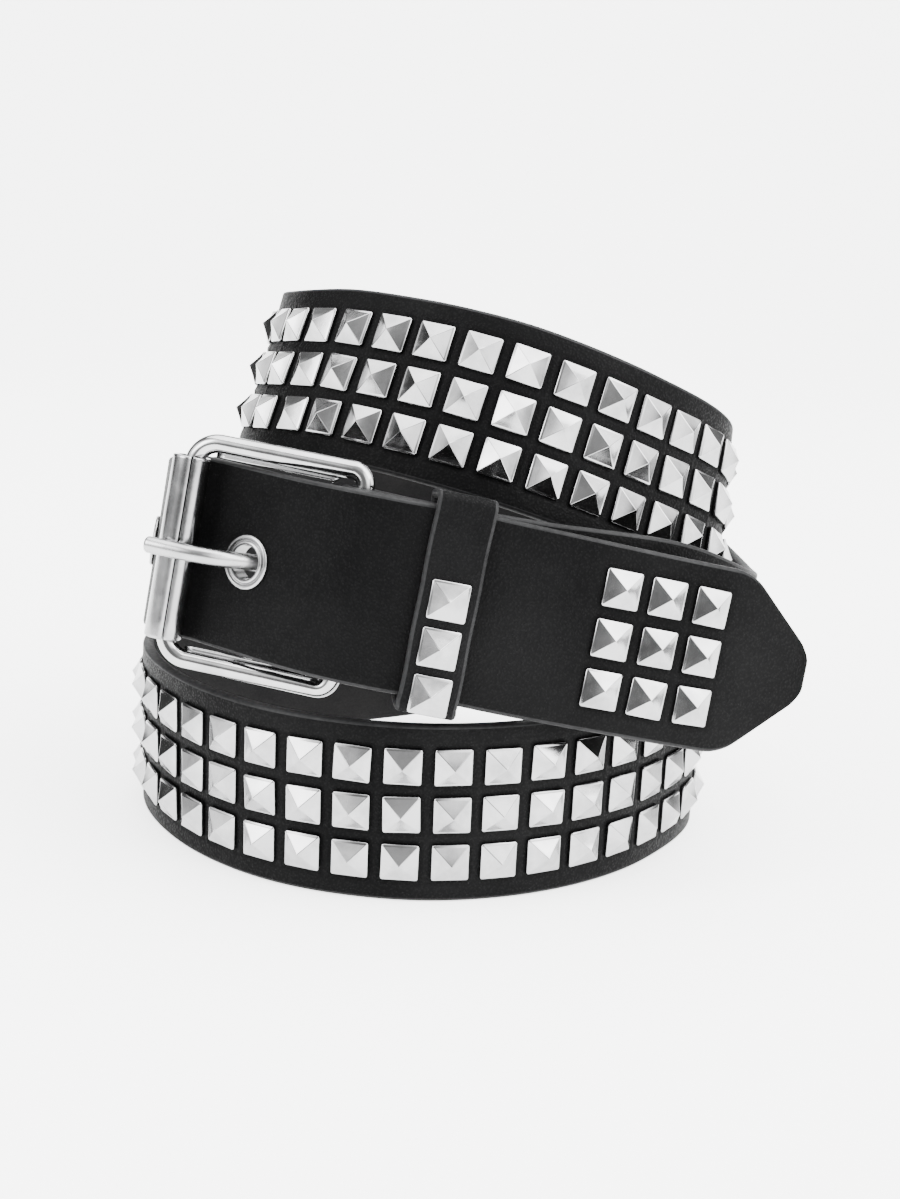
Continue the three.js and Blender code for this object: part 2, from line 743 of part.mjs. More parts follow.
function keeperPiece() {
  const outer = new THREE.Shape();
  roundedBox(outer, keeperIn - keeperWall, keeperOut + keeperWall, keeperHalfHeight, keeperCorner);
  const inner = new THREE.Path();
  roundedBox(inner, keeperIn, keeperOut, keeperHalfHeight - keeperWall, keeperCorner / 3);
  outer.holes.push(inner);
  const options = { depth: keeperWidth, bevelEnabled: false, curveSegments: 3 };
  const band = new THREE.ExtrudeGeometry(outer, options);
  band.translate(0, 0, -keeperWidth / 2);
  const at = strapAt(keeperLength);
  const basis = new THREE.Matrix4().makeBasis(at.out, at.up, at.along.clone().negate());
  basis.setPosition(at.place);
  return piece('keeper', band.applyMatrix4(basis), leatherMaterial(0x1c1c1d, 0.5));
}

function keeperStudPiece(index) {
  const lowest = -keeperHalfHeight + keeperStudMargin + studSize / 2;
  const up = lowest + index * keeperStudPitch;
  const stud = seat(pyramidStud(), strapAt(keeperLength), up, keeperOut + keeperWall + pieceGap);
  return piece(`keeper_stud_${index + 1}`, stud, metalMaterial(0xd4d5d6, 0.2));
}

function tipStudPiece(column, row) {
  const length = tipLength - tipStudsFromEnd + column * studPitch;
  const up = rowHeight(row);
  const stud = seat(pyramidStud(), strapAt(length), up, leafFace + pieceGap);
  return piece(`tip_stud_${column * studRows + row + 1}`, stud, metalMaterial(0xd4d5d6, 0.2));
}

const belt = new THREE.Group();
belt.add(...strapPieces(), framePiece(), rollerPiece(), prongPiece(), keeperPiece());
eyeletLengths.forEach((length, i) => belt.add(eyeletPiece(`eyelet_${i + 1}`, length)));
for (let i = 0; i < keeperStudCount; i += 1) belt.add(keeperStudPiece(i));
for (let column = 0; column < tipStudColumns; column += 1) {
  for (let row = 0; row < studRows; row += 1) belt.add(tipStudPiece(column, row));
}

// The belt stands on its lowest edge, its middle over the origin
const bounds = new THREE.Box3().setFromObject(belt, true);
const middle = bounds.getCenter(vec(0, 0, 0));
belt.position.set(-middle.x, -middle.y, -bounds.min.z);

export default belt;
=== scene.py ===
import math
import random

import bpy
import bmesh
import numpy as np
from mathutils import Matrix, Vector


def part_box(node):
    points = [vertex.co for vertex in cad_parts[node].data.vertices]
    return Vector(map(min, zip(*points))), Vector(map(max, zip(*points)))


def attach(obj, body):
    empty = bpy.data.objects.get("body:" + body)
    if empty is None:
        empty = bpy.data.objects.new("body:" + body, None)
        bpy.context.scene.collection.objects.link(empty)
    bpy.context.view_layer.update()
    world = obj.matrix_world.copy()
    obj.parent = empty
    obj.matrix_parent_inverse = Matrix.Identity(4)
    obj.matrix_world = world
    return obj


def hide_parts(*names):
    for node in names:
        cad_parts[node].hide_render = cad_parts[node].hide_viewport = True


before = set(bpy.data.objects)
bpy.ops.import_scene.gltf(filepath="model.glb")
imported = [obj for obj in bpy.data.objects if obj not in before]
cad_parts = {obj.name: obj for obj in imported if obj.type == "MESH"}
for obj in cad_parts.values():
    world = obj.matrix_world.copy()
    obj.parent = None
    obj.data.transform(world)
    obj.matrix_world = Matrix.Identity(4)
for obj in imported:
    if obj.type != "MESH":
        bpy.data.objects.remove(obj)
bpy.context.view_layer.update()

MM = 0.001

# Sizes of the belt, in millimetres
STRAP_WIDTH = 38.0
STRAP_THICKNESS = 2.6
LEAF_FACE = STRAP_THICKNESS / 2
PIECE_GAP = 0.3
COIL_RADIUS = 60.0
WIRE_RADIUS = 1.9
FRAME_HEIGHT = 48.4
BAR_ALONG = 36.0
FRAME_CORNER = 5.2
BAR_CORNER = 2.9
ROLLER_RADIUS = 3.5
ROLLER_BORE = 2.75
ROLLER_SHOWN = 3.85
ROLLER_SLACK = 0.45
ROLLER_LENGTH = 37.6
ROLLER_SEAM = 0.55
ROLLER_SEAM_ANGLE = 70.0
PRONG_RADIUS = 1.65
PRONG_OVERHANG = 4.6
STUD_SIZE = 7.8
STUD_HEIGHT = 2.9
STUD_PITCH = 10.0
ROW_PITCH = 10.2
STUD_ROWS = 3
EYELET_ALONG = 15.4
EYELET_TO_TIP = 123.9
TIP_STUDS_FROM_END = 46.7
TIP_FLANK = 39.0
TIP_NOSE = 9.4
TIP_SHOULDER = 12.0
TIP_REACH = 26.0
EYELET_PITCH = 25.0
EYELET_COUNT = 5
FOLD_LENGTH = 40.0
FOLD_CLOSE = 16.0
KEEPER_FROM_BAR = 21.0
KEEPER_WIDTH = 12.0
KEEPER_WALL = 2.0
KEEPER_SIDE_GAP = 0.9
KEEPER_GAP = 0.45
KEEPER_BACK_GAP = 0.9
FIRST_STUD = 66.09
STUDS_END_BEFORE_EYELETS = 16.0

# The turns, from the right front up to the left of the third turn: angle in degrees,
# radius as a share of the coil's, height as a share of the strap's width, and how far
# the strap's width slopes to the right and to the back as it rises
COIL = [
    (-38, 1.02, 1.437, 0.16, 0.19), (-18, 1.142, 1.21, 0.13, 0.1), (0, 1.183, 1.09, 0.08, 0),
    (30, 1.208, 1.2, 0.06, 0.03), (60, 1.183, 1.6, 0.03, 0.06), (90, 1.09, 2.07, 0, 0),
    (120, 0.93, 2.45, 0.12, 0.15), (150, 0.775, 2.56, 0.25, 0.3), (180, 0.565, 2.642, 0.28, 0.36),
    (210, 0.435, 2.682, 0.28, 0.36), (240, 0.405, 2.676, 0.28, 0.36), (270, 0.45, 2.642, 0.28, 0.36),
    (300, 0.583, 2.545, 0.28, 0.36), (330, 0.788, 2.313, 0.28, 0.36), (360, 1.075, 1.939, 0.06, 0.3),
    (390, 1.07, 1.53, 0.02, 0.06), (420, 0.98, 0.99, 0.01, 0.02), (450, 0.957, 0.61, 0, 0),
    (480, 0.992, 0.5, 0, 0), (510, 1.045, 0.5, 0, 0), (540, 1.067, 0.5, 0, 0),
    (570, 0.99, 0.5, 0, 0), (600, 0.943, 0.5, 0, 0), (630, 0.913, 0.5, 0, 0),
    (660, 0.907, 0.5, 0, 0), (690, 0.948, 0.5, 0, 0), (720, 1.04, 0.5, 0, 0),
    (750, 0.93, 0.72, 0, 0), (780, 0.855, 1.08, 0, 0), (810, 0.83, 1.33, 0, 0),
    (840, 0.855, 1.4, 0.02, 0.02), (870, 0.945, 1.49, 0.07, 0.05), (896, 1.02, 1.57, 0.13, 0.1),
]
# The free end between roller and bar: share of the way, rise from 0 to 1, slopes
RISING = [
    (0, -0.04, 0.15, 0.12), (0.12, 0.03, 0.155, 0.123), (0.226, 0.155, 0.16, 0.126),
    (0.453, 0.444, 0.16, 0.126), (0.726, 0.765, 0.16, 0.126),
]
# The free end past the bar: along, up and drop as shares of the width, slopes
FALLING = [
    (0, 0.005, 0, 0.16, 0.126), (0.265, 0.005, 0.013, 0.16, 0.14), (0.553, 0.005, 0.084, 0.17, 0.18),
    (0.921, -0.013, 0.216, 0.18, 0.2), (1.421, -0.037, 0.432, 0.17, 0.21),
    (1.895, -0.061, 0.689, 0.15, 0.22), (2.474, -0.095, 1.1, 0.14, 0.22),
]
PARTING = (0.921, 0.005, 0.318, 0.18, 0.2)
PATH_STEPS = 28


def unit(v):
    return v / np.linalg.norm(v, axis=-1, keepdims=True)


def width_direction(along, right, back):
    up = np.stack([right, back, np.ones_like(right)], axis=-1)
    return unit(up - along * (up * along).sum(-1, keepdims=True))


# The buckle's own axes and the roller's middle
yaw, pitch = math.radians(-12), math.radians(6.3)
buckle_along = np.array([math.cos(pitch) * math.cos(yaw), math.cos(pitch) * math.sin(yaw), -math.sin(pitch)])
buckle_up = width_direction(buckle_along[None], np.array([0.16]), np.array([0.126]))[0]
buckle_out = np.cross(buckle_along, buckle_up)
buckle_origin = np.array([-0.842 * COIL_RADIUS, -0.667 * COIL_RADIUS, 1.797 * STRAP_WIDTH])

BEHIND_ROLLER = -(ROLLER_RADIUS + PIECE_GAP + LEAF_FACE)
FOLD_OUT = WIRE_RADIUS + PIECE_GAP + LEAF_FACE
OVER_BAR = WIRE_RADIUS + PRONG_RADIUS * 2 + PIECE_GAP * 3 + LEAF_FACE
LEAF_PITCH = STRAP_THICKNESS + PIECE_GAP * 3
KEEPER_ALONG = BAR_ALONG + KEEPER_FROM_BAR


def in_buckle(along, up, out):
    return (buckle_origin + np.multiply.outer(along, buckle_along)
            + np.multiply.outer(up, buckle_up) + np.multiply.outer(out, buckle_out))


def falling_row(row, depth):
    along, up, drop, right, back = row
    out = OVER_BAR - drop * STRAP_WIDTH - depth
    return [*in_buckle(BAR_ALONG + along * STRAP_WIDTH, up * STRAP_WIDTH, out), right, back]


def path_rows():
    rows = [
        falling_row(FALLING[0], OVER_BAR - FOLD_OUT), falling_row(FALLING[1], LEAF_PITCH),
        falling_row(FALLING[2], LEAF_PITCH), falling_row(PARTING, 0),
    ]
    for angle, radius, height, right, back in COIL:
        turn, reach = math.radians(angle), radius * COIL_RADIUS
        rows.append([reach * math.cos(turn), reach * math.sin(turn), height * STRAP_WIDTH, right, back])
    for along, rise, right, back in RISING:
        out = BEHIND_ROLLER + (OVER_BAR - BEHIND_ROLLER) * rise
        rows.append([*in_buckle(along * BAR_ALONG, 0.0, out), right, back])
    rows += [falling_row(row, 0) for row in FALLING]
    return np.array(rows, float)


def smooth_rows(rows, steps):
    """A centripetal Catmull-Rom curve through the rows."""
    rows = np.vstack([2 * rows[0] - rows[1], rows, 2 * rows[-1] - rows[-2]])
    t = (np.arange(steps) / steps)[:, None]
    result = []
    for i in range(1, len(rows) - 2):
        p0, p1, p2, p3 = rows[i - 1:i + 3]
        d0, d1, d2 = (math.sqrt(np.linalg.norm(b[:3] - a[:3])) for a, b in ((p0, p1), (p1, p2), (p2, p3)))
        leave = ((p1 - p0) / d0 - (p2 - p0) / (d0 + d1) + (p2 - p1) / d1) * d1
        arrive = ((p2 - p1) / d1 - (p3 - p1) / (d1 + d2) + (p3 - p2) / d2) * d1
        result.append((2 * t ** 3 - 3 * t ** 2 + 1) * p1 + (t ** 3 - 2 * t ** 2 + t) * leave
                      + (3 * t ** 2 - 2 * t ** 3) * p2 + (t ** 3 - t ** 2) * arrive)
    result.append(rows[-2][None])
    return np.vstack(result)


path = smooth_rows(path_rows(), PATH_STEPS)
path[:, 2] = np.maximum(path[:, 2], STRAP_WIDTH / 2)
path_point = path[:, :3]
path_length = np.r_[0, np.cumsum(np.linalg.norm(np.diff(path_point, axis=0), axis=1))]
path_along = unit(np.gradient(path_point, axis=0))


def interpolate(length, table):
    return np.stack([np.interp(length, path_length, table[:, k]) for k in range(table.shape[1])], axis=-1)


def strap_at(length):
    """Place and axes of the strap at each length: along, up its width, outwards."""
    length = np.atleast_1d(np.asarray(length, float))
    along = unit(interpolate(length, path_along))
    slopes = interpolate(length, path[:, 3:5])
    up = width_direction(along, slopes[:, 0], slopes[:, 1])
    return interpolate(length, path_point), along, up, np.cross(along, up)


def length_at_buckle(along):
    reach = (path_point - buckle_origin) @ buckle_along
    i = len(reach) - 1
    while reach[i - 1] > along:
        i -= 1
    t = (along - reach[i - 1]) / (reach[i] - reach[i - 1])
    return path_length[i - 1] + t * (path_length[i] - path_length[i - 1])


eyelet_length = length_at_buckle(EYELET_ALONG)
keeper_length = length_at_buckle(KEEPER_ALONG)
tip_length = eyelet_length + EYELET_TO_TIP
studs_end = eyelet_length - (EYELET_COUNT - 1) * EYELET_PITCH - STUDS_END_BEFORE_EYELETS
stud_columns = int((studs_end - FIRST_STUD) // STUD_PITCH) + 1
studs_from = FIRST_STUD - STUD_PITCH / 2
studs_to = studs_from + stud_columns * STUD_PITCH
tip_studs_from = tip_length - TIP_STUDS_FROM_END - STUD_PITCH / 2
keeper_in = -LEAF_PITCH * 2 - LEAF_FACE - KEEPER_BACK_GAP
keeper_out = LEAF_FACE + KEEPER_GAP
keeper_half = STRAP_WIDTH / 2 + KEEPER_SIDE_GAP + KEEPER_WALL

# The coil's own coordinates are moved so that the keeper lies where model.glb has it
keeper_place, keeper_along, keeper_up, keeper_outwards = (a[0] for a in strap_at(keeper_length))
low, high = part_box("keeper")
keeper_middle = keeper_place + keeper_outwards * (keeper_in + keeper_out) / 2
offset = (np.array(low) + np.array(high)) / 2 / MM - keeper_middle


def metres(points):
    return (np.asarray(points) + offset) * MM


def row_height(row):
    return ((STUD_ROWS - 1) / 2 - row) * ROW_PITCH


def stud_columns_at():
    field = FIRST_STUD + np.arange(stud_columns) * STUD_PITCH
    tip = tip_length - TIP_STUDS_FROM_END + np.arange(3) * STUD_PITCH
    return field, tip


# ---- mesh helpers

def mesh_object(name, points, faces, materials, face_material=None, smooth=None):
    mesh = bpy.data.meshes.new(name)
    mesh.from_pydata([tuple(p) for p in points], [], [tuple(int(i) for i in f) for f in faces])
    for material in materials:
        mesh.materials.append(material)
    if face_material is not None:
        mesh.polygons.foreach_set("material_index", np.asarray(face_material, np.int32))
    flags = np.ones(len(faces), bool) if smooth is None else np.asarray(smooth, bool)
    mesh.polygons.foreach_set("use_smooth", flags)
    mesh.update()
    obj = bpy.data.objects.new(name, mesh)
    bpy.context.scene.collection.objects.link(obj)
    return obj


def tidy_normals(obj):
    bm = bmesh.new()
    bm.from_mesh(obj.data)
    bmesh.ops.recalc_face_normals(bm, faces=bm.faces)
    bm.to_mesh(obj.data)
    bm.free()


def grid_faces(rows, columns, wrap_rows=False, wrap_columns=True):
    faces = []
    for i in range(rows if wrap_rows else rows - 1):
        for j in range(columns if wrap_columns else columns - 1):
            a, b = i, (i + 1) % rows
            c, d = j, (j + 1) % columns
            faces.append((a * columns + c, a * columns + d, b * columns + d, b * columns + c))
    return faces


def sweep(points, side, other, section, closed=False):
    """Points of a section (x, y) set at each path point on the axes side and other."""
    section = np.asarray(section, float)
    if section.ndim == 2:
        section = np.broadcast_to(section, (len(points), *section.shape))
    rings = (
        points[:, None, :] + section[..., 0:1] * side[:, None, :]
        + section[..., 1:2] * other[:, None, :]
    )
    count, sides = rings.shape[:2]
    faces = grid_faces(count, sides, wrap_rows=closed)
    if not closed:
        faces.append(tuple(range(sides - 1, -1, -1)))
        faces.append(tuple((count - 1) * sides + k for k in range(sides)))
    return rings.reshape(-1, 3), faces


def circle(radius, sides):
    turn = np.arange(sides) * 2 * np.pi / sides
    return np.c_[np.cos(turn), np.sin(turn)] * radius


# ---- materials

def new_material(name):
    material = bpy.data.materials.new(name)
    material.use_nodes = True
    nodes, links = material.node_tree.nodes, material.node_tree.links
    nodes.clear()
    output = nodes.new("ShaderNodeOutputMaterial")
    shader = nodes.new("ShaderNodeBsdfPrincipled")
    links.new(shader.outputs["BSDF"], output.inputs["Surface"])
    place = nodes.new("ShaderNodeTexCoord")
    return material, nodes, links, shader, place.outputs["Object"]


def noise(nodes, links, place, scale, detail=2.0, roughness=0.5):
    node = nodes.new("ShaderNodeTexNoise")
    node.inputs["Scale"].default_value = scale
    node.inputs["Detail"].default_value = detail
    node.inputs["Roughness"].default_value = roughness
    links.new(place, node.inputs["Vector"])
    return node.outputs["Fac"]


def ramp(nodes, links, value, stops):
    node = nodes.new("ShaderNodeValToRGB")
    elements = node.color_ramp.elements
    while len(elements) < len(stops):
        elements.new(0.5)
    for element, (position, color) in zip(elements, stops):
        element.position = position
        element.color = (*color, 1.0) if len(color) == 3 else color
    links.new(value, node.inputs["Fac"])
    return node.outputs["Color"]


def math_node(nodes, links, operation, *values, clamp=False):
    node = nodes.new("ShaderNodeMath")
    node.operation = operation
    node.use_clamp = clamp
    for socket, value in zip(node.inputs, values):
        if hasattr(value, "links"):
            links.new(value, socket)
        else:
            socket.default_value = value
    return node.outputs[0]


def map_range(nodes, links, value, from_low, from_high, to_low, to_high):
    node = nodes.new("ShaderNodeMapRange")
    links.new(value, node.inputs["Value"])
    sockets = ("From Min", "From Max", "To Min", "To Max")
    for socket, number in zip(sockets, (from_low, from_high, to_low, to_high)):
        node.inputs[socket].default_value = number
    return node.outputs["Result"]


def bump(nodes, links, height, strength, distance, normal=None):
    node = nodes.new("ShaderNodeBump")
    node.inputs["Strength"].default_value = strength
    node.inputs["Distance"].default_value = distance
    links.new(height, node.inputs["Height"])
    if normal is not None:
        links.new(normal, node.inputs["Normal"])
    return node.outputs["Normal"]


def leather(name, dark, light, grain_size, grain_depth, shine):
    material, nodes, links, shader, place = new_material(name)
    cells = nodes.new("ShaderNodeTexVoronoi")
    cells.feature = "SMOOTH_F1"
    cells.inputs["Scale"].default_value = 1 / grain_size
    cells.inputs["Smoothness"].default_value = 0.35
    cells.inputs["Randomness"].default_value = 1.0
    warp = nodes.new("ShaderNodeTexNoise")
    warp.inputs["Scale"].default_value = 0.5 / grain_size
    links.new(place, warp.inputs["Vector"])
    shift = nodes.new("ShaderNodeVectorMath")
    shift.operation = "MULTIPLY_ADD"
    links.new(warp.outputs["Color"], shift.inputs[0])
    shift.inputs[1].default_value = (grain_size,) * 3
    links.new(place, shift.inputs[2])
    links.new(shift.outputs["Vector"], cells.inputs["Vector"])
    pebble = map_range(nodes, links, cells.outputs["Distance"], 0.0, 0.75, 1.0, 0.0)
    wear = noise(nodes, links, place, 28.0, 4.0, 0.6)
    cloud = noise(nodes, links, place, 9.0, 2.0, 0.5)
    fine = noise(nodes, links, place, 3.2 / grain_size, 2.0, 0.6)
    tone = math_node(nodes, links, "MULTIPLY_ADD", wear, 0.6, math_node(nodes, links, "MULTIPLY", cloud, 0.4))
    links.new(ramp(nodes, links, tone, [(0.36, dark), (0.64, light)]), shader.inputs["Base Color"])
    dull = map_range(nodes, links, tone, 0.3, 0.7, shine + 0.13, shine - 0.02)
    gloss = math_node(nodes, links, "MULTIPLY_ADD", pebble, -0.12, dull)
    links.new(math_node(nodes, links, "ADD", gloss, 0.07, clamp=True), shader.inputs["Roughness"])
    relief = math_node(nodes, links, "MULTIPLY_ADD", fine, 0.25, pebble)
    rough = bump(nodes, links, relief, 0.85, grain_depth)
    soft = bump(nodes, links, cloud, 0.5, 0.0008, rough)
    links.new(soft, shader.inputs["Normal"])
    links.new(map_range(nodes, links, pebble, 0.3, 1.0, 0.015, 0.05), shader.inputs["Specular IOR Level"])
    return material


def edge_leather(name):
    material, nodes, links, shader, place = new_material(name)
    fibre = noise(nodes, links, place, 900.0, 3.0, 0.65)
    broad = noise(nodes, links, place, 60.0, 3.0, 0.6)
    half_broad = math_node(nodes, links, "MULTIPLY", broad, 0.5)
    tone = math_node(nodes, links, "MULTIPLY_ADD", fibre, 0.5, half_broad)
    # Lighter than the face: partly the burnished edge's own colour, partly a painted highlight for the light
    # the rounded edge catches.
    color = ramp(nodes, links, tone, [(0.35, (0.006, 0.006, 0.0063)), (0.7, (0.018, 0.018, 0.0185))])
    links.new(color, shader.inputs["Base Color"])
    links.new(map_range(nodes, links, tone, 0.3, 0.7, 0.62, 0.4), shader.inputs["Roughness"])
    shader.inputs["Specular IOR Level"].default_value = 0.1
    links.new(bump(nodes, links, tone, 0.6, 0.00012), shader.inputs["Normal"])
    return material


def backing(name):
    material, nodes, links, shader, place = new_material(name)
    nap = noise(nodes, links, place, 2200.0, 2.0, 0.7)
    blotch = noise(nodes, links, place, 70.0, 4.0, 0.6)
    most_blotch = math_node(nodes, links, "MULTIPLY", blotch, 0.65)
    tone = math_node(nodes, links, "MULTIPLY_ADD", nap, 0.35, most_blotch)
    color = ramp(nodes, links, tone, [(0.3, (0.008, 0.008, 0.0085)), (0.7, (0.017, 0.0165, 0.0165))])
    links.new(color, shader.inputs["Base Color"])
    links.new(map_range(nodes, links, nap, 0.3, 0.7, 0.95, 0.78), shader.inputs["Roughness"])
    shader.inputs["Specular IOR Level"].default_value = 0.1
    links.new(bump(nodes, links, tone, 0.7, 0.0002), shader.inputs["Normal"])
    return material


def metal(name, color, shadow, gloss, dent_size, dent_depth):
    material, nodes, links, shader, place = new_material(name)
    shader.inputs["Metallic"].default_value = 1.0
    haze = noise(nodes, links, place, 170.0, 4.0, 0.65)
    broad = noise(nodes, links, place, 1 / dent_size, 1.5, 0.45)
    scratch = noise(nodes, links, place, 2600.0, 2.0, 0.7)
    tone = math_node(nodes, links, "MULTIPLY_ADD", haze, 0.6, math_node(nodes, links, "MULTIPLY", broad, 0.4))
    links.new(ramp(nodes, links, tone, [(0.32, shadow), (0.58, color)]), shader.inputs["Base Color"])
    links.new(map_range(nodes, links, haze, 0.3, 0.75, gloss, gloss + 0.1), shader.inputs["Roughness"])
    dents = bump(nodes, links, broad, 0.6, dent_depth)
    links.new(bump(nodes, links, scratch, 0.25, 0.000012, dents), shader.inputs["Normal"])
    return material


GRAIN_SIZE = 0.00055
strap_face = leather(
    "strap_leather", (0.0022, 0.0022, 0.0023), (0.0055, 0.0055, 0.0056), GRAIN_SIZE, 0.00009, 0.36,
)
keeper_face = leather(
    "keeper_leather", (0.0028, 0.0028, 0.0029), (0.007, 0.007, 0.0072), GRAIN_SIZE, 0.00013, 0.34,
)
strap_edge = edge_leather("leather_edge")
strap_back = backing("leather_backing")
stud_metal = metal("stud_metal", (0.39, 0.39, 0.393), (0.26, 0.26, 0.263), 0.09, 0.007, 0.0001)
frame_metal = metal("frame_metal", (0.43, 0.43, 0.433), (0.31, 0.31, 0.313), 0.07, 0.008, 0.0001)
prong_metal = metal("prong_metal", (0.38, 0.38, 0.383), (0.28, 0.28, 0.283), 0.22, 0.006, 0.0001)
roller_metal = metal("roller_metal", (0.34, 0.34, 0.343), (0.22, 0.22, 0.223), 0.13, 0.007, 0.00012)
eyelet_metal = metal("eyelet_metal", (0.36, 0.36, 0.363), (0.25, 0.25, 0.253), 0.18, 0.004, 0.00008)


# ---- strap

# The stretch that stands on the floor, as lengths along the strap
FLOOR_TURN_FROM = 560
FLOOR_TURN_TO = 760


def tip_half_width(distance):
    half, flank = STRAP_WIDTH / 2, math.radians(TIP_FLANK)
    nose_end = TIP_NOSE * (1 - math.sin(flank))
    nose_half = TIP_NOSE * math.cos(flank)
    corner = nose_end + (half - nose_half) / math.tan(flank)
    bend = TIP_SHOULDER * math.tan(flank / 2)
    if distance < nose_end:
        return math.sqrt(max(TIP_NOSE ** 2 - (TIP_NOSE - distance) ** 2, 0.0))
    if distance < corner - bend * math.cos(flank):
        return nose_half + (distance - nose_end) * math.tan(flank)
    past = min(distance - corner - bend, 0)
    return half - TIP_SHOULDER + math.sqrt(TIP_SHOULDER ** 2 - past ** 2)


def strap_lengths():
    offsets = [0, 0.45, 0.9, 1.35, 3.2, 5.0, 6.8, 8.65, 9.1, 9.55]

    def columns(start, count):
        return [start + STUD_PITCH * k + o for k in range(count) for o in offsets]

    lengths = list(np.arange(0, studs_from - 0.8, 1.6))
    lengths += columns(studs_from, stud_columns)
    lengths += list(np.arange(studs_to, tip_studs_from - 0.7, 1.45))
    lengths += columns(tip_studs_from, 3)
    past_studs = tip_studs_from + 3 * STUD_PITCH
    if tip_length - TIP_REACH > past_studs:
        lengths += list(np.linspace(past_studs, tip_length - TIP_REACH, 3)[:-1])
    start = max(tip_length - TIP_REACH, past_studs)
    reach = tip_length - start
    lengths += [tip_length - reach * (1 - k / 44) ** 1.7 for k in range(44)]
    lengths.append(tip_length - 0.006)
    return np.array(lengths)


def strap_section():
    """Across and out of each point round the strap, with the kind of each face after it."""
    edge = STRAP_WIDTH / 2
    rounding = 0.8
    across = [edge - rounding, 16.9, 15.6, 15.0, 14.55, 14.1, 10.2, 6.3, 5.85, 5.1, 4.35, 3.9, 0.0]
    across += [-a for a in across[-2::-1]]
    points = [(a, LEAF_FACE, 0) for a in across]
    turns = np.radians(np.linspace(90, -90, 9)[1:-1])
    points[-1] = (points[-1][0], points[-1][1], 1)
    squash = LEAF_FACE
    points += [(-(edge - rounding) - rounding * math.cos(t) ** 0.8, squash * math.sin(t), 1) for t in turns]
    inner = [-(edge - rounding), -12.0, -6.0, 0.0, 6.0, 12.0, edge - rounding]
    points += [(a, -LEAF_FACE, 2) for a in inner]
    points[-1] = (points[-1][0], points[-1][1], 1)
    points += [((edge - rounding) + rounding * math.cos(t) ** 0.8, -squash * math.sin(t), 1) for t in turns]
    return points


def waves(length, across, size, seed):
    rng = random.Random(seed)
    total = np.zeros(np.broadcast(length, across).shape)
    for _ in range(7):
        a, b, c = rng.uniform(0.03, 0.16), rng.uniform(-0.12, 0.12), rng.uniform(0, 6.28)
        total = total + np.sin(length * a + across * b + c)
    return total * size / 7


def build_strap():
    lengths = strap_lengths()
    place, along, up, out = strap_at(lengths)
    distance = tip_length - lengths
    half = np.array([tip_half_width(max(d, 0.0)) if d < TIP_REACH + 6 else STRAP_WIDTH / 2 for d in distance])
    thick = np.sqrt(np.clip(1 - (1 - np.clip(distance / 0.9, 0, 1)) ** 2, 0.02, 1))

    # the inner leaf of the fold, then round the hidden bar
    leaf = np.arange(FOLD_LENGTH, 0.01, -1.7)
    leaf_place, _, leaf_up, leaf_out = strap_at(leaf)
    t = np.clip(leaf / FOLD_CLOSE, 0, 1)
    depth = FOLD_OUT * 2 + (LEAF_PITCH - FOLD_OUT * 2) * (t * t * (3 - 2 * t))
    leaf_place = leaf_place - leaf_out * depth[:, None]
    start_place, start_along, start_up, start_out = (a[0] for a in strap_at(0.0))
    bar = start_place - start_out * FOLD_OUT
    turn = np.linspace(0, math.pi, 21)[:-1]
    bend_out = -np.cos(turn)[:, None] * start_out - np.sin(turn)[:, None] * start_along
    bend_place = bar + bend_out * FOLD_OUT
    count = len(leaf) + len(turn)

    place = np.vstack([leaf_place, bend_place, place])
    up = np.vstack([leaf_up, np.repeat(start_up[None], len(turn), 0), up])
    out = np.vstack([-leaf_out, bend_out, out])
    half = np.r_[np.full(count, STRAP_WIDTH / 2), half]
    thick = np.r_[np.full(count, 1.0), thick]
    run = np.r_[-np.arange(count, 0, -1) * 1.6, lengths]

    section = strap_section()
    across0 = np.array([p[0] for p in section])
    outward0 = np.array([p[1] for p in section])
    kinds = [p[2] for p in section]
    across = across0[None] * (half / (STRAP_WIDTH / 2))[:, None]
    outward = outward0[None] * thick[:, None]

    # leather pressed down round each stud and swelling between them
    face = (np.array(kinds) == 0) | (outward0 >= LEAF_FACE - 1e-6)
    field, tip = stud_columns_at()
    centres = np.r_[field, tip]
    nearest = np.abs(run[:, None] - centres[None]).min(1)
    rows = np.array([row_height(r) for r in range(STUD_ROWS)])
    across_gap = np.abs(across[:, :, None] - rows[None, None]).min(2)
    gap = np.maximum(nearest[:, None], across_gap) - STUD_SIZE / 2
    press = -0.22 * np.exp(-np.clip(gap, 0, None) ** 2 / 0.5) + 0.06 * np.exp(-(gap - 1.2) ** 2 / 0.3)
    far = nearest > STUD_PITCH
    press[far] = 0
    sway = waves(run[:, None], across, 0.16, 5)
    freedom = np.clip(distance_from_seats(run), 0, 1)[:, None]
    outward = outward + np.where(face[None], press, 0) + sway * freedom
    edge_wave = waves(run[:, None], np.zeros((1, len(section))), 0.14, 9)
    across = across * (1 + edge_wave / (STRAP_WIDTH / 2))
    lowest = (run > FLOOR_TURN_FROM) & (run < FLOOR_TURN_TO)
    across[lowest] = np.clip(across[lowest], -STRAP_WIDTH / 2 + 0.02, None)

    points = (place[:, None, :] + across[..., None] * up[:, None, :] + outward[..., None] * out[:, None, :])
    rows_count, sides = len(place), len(section)
    faces = grid_faces(rows_count, sides)
    face_kind = [kinds[k % sides] for k in range((rows_count - 1) * sides)]
    faces.append(tuple(range(sides - 1, -1, -1)))
    faces.append(tuple((rows_count - 1) * sides + k for k in range(sides)))
    face_kind += [1, 1]
    flat = points.reshape(-1, 3)
    strap = mesh_object("strap_dressed", metres(flat), faces, [strap_face, strap_edge, strap_back], face_kind)
    tidy_normals(strap)
    return strap


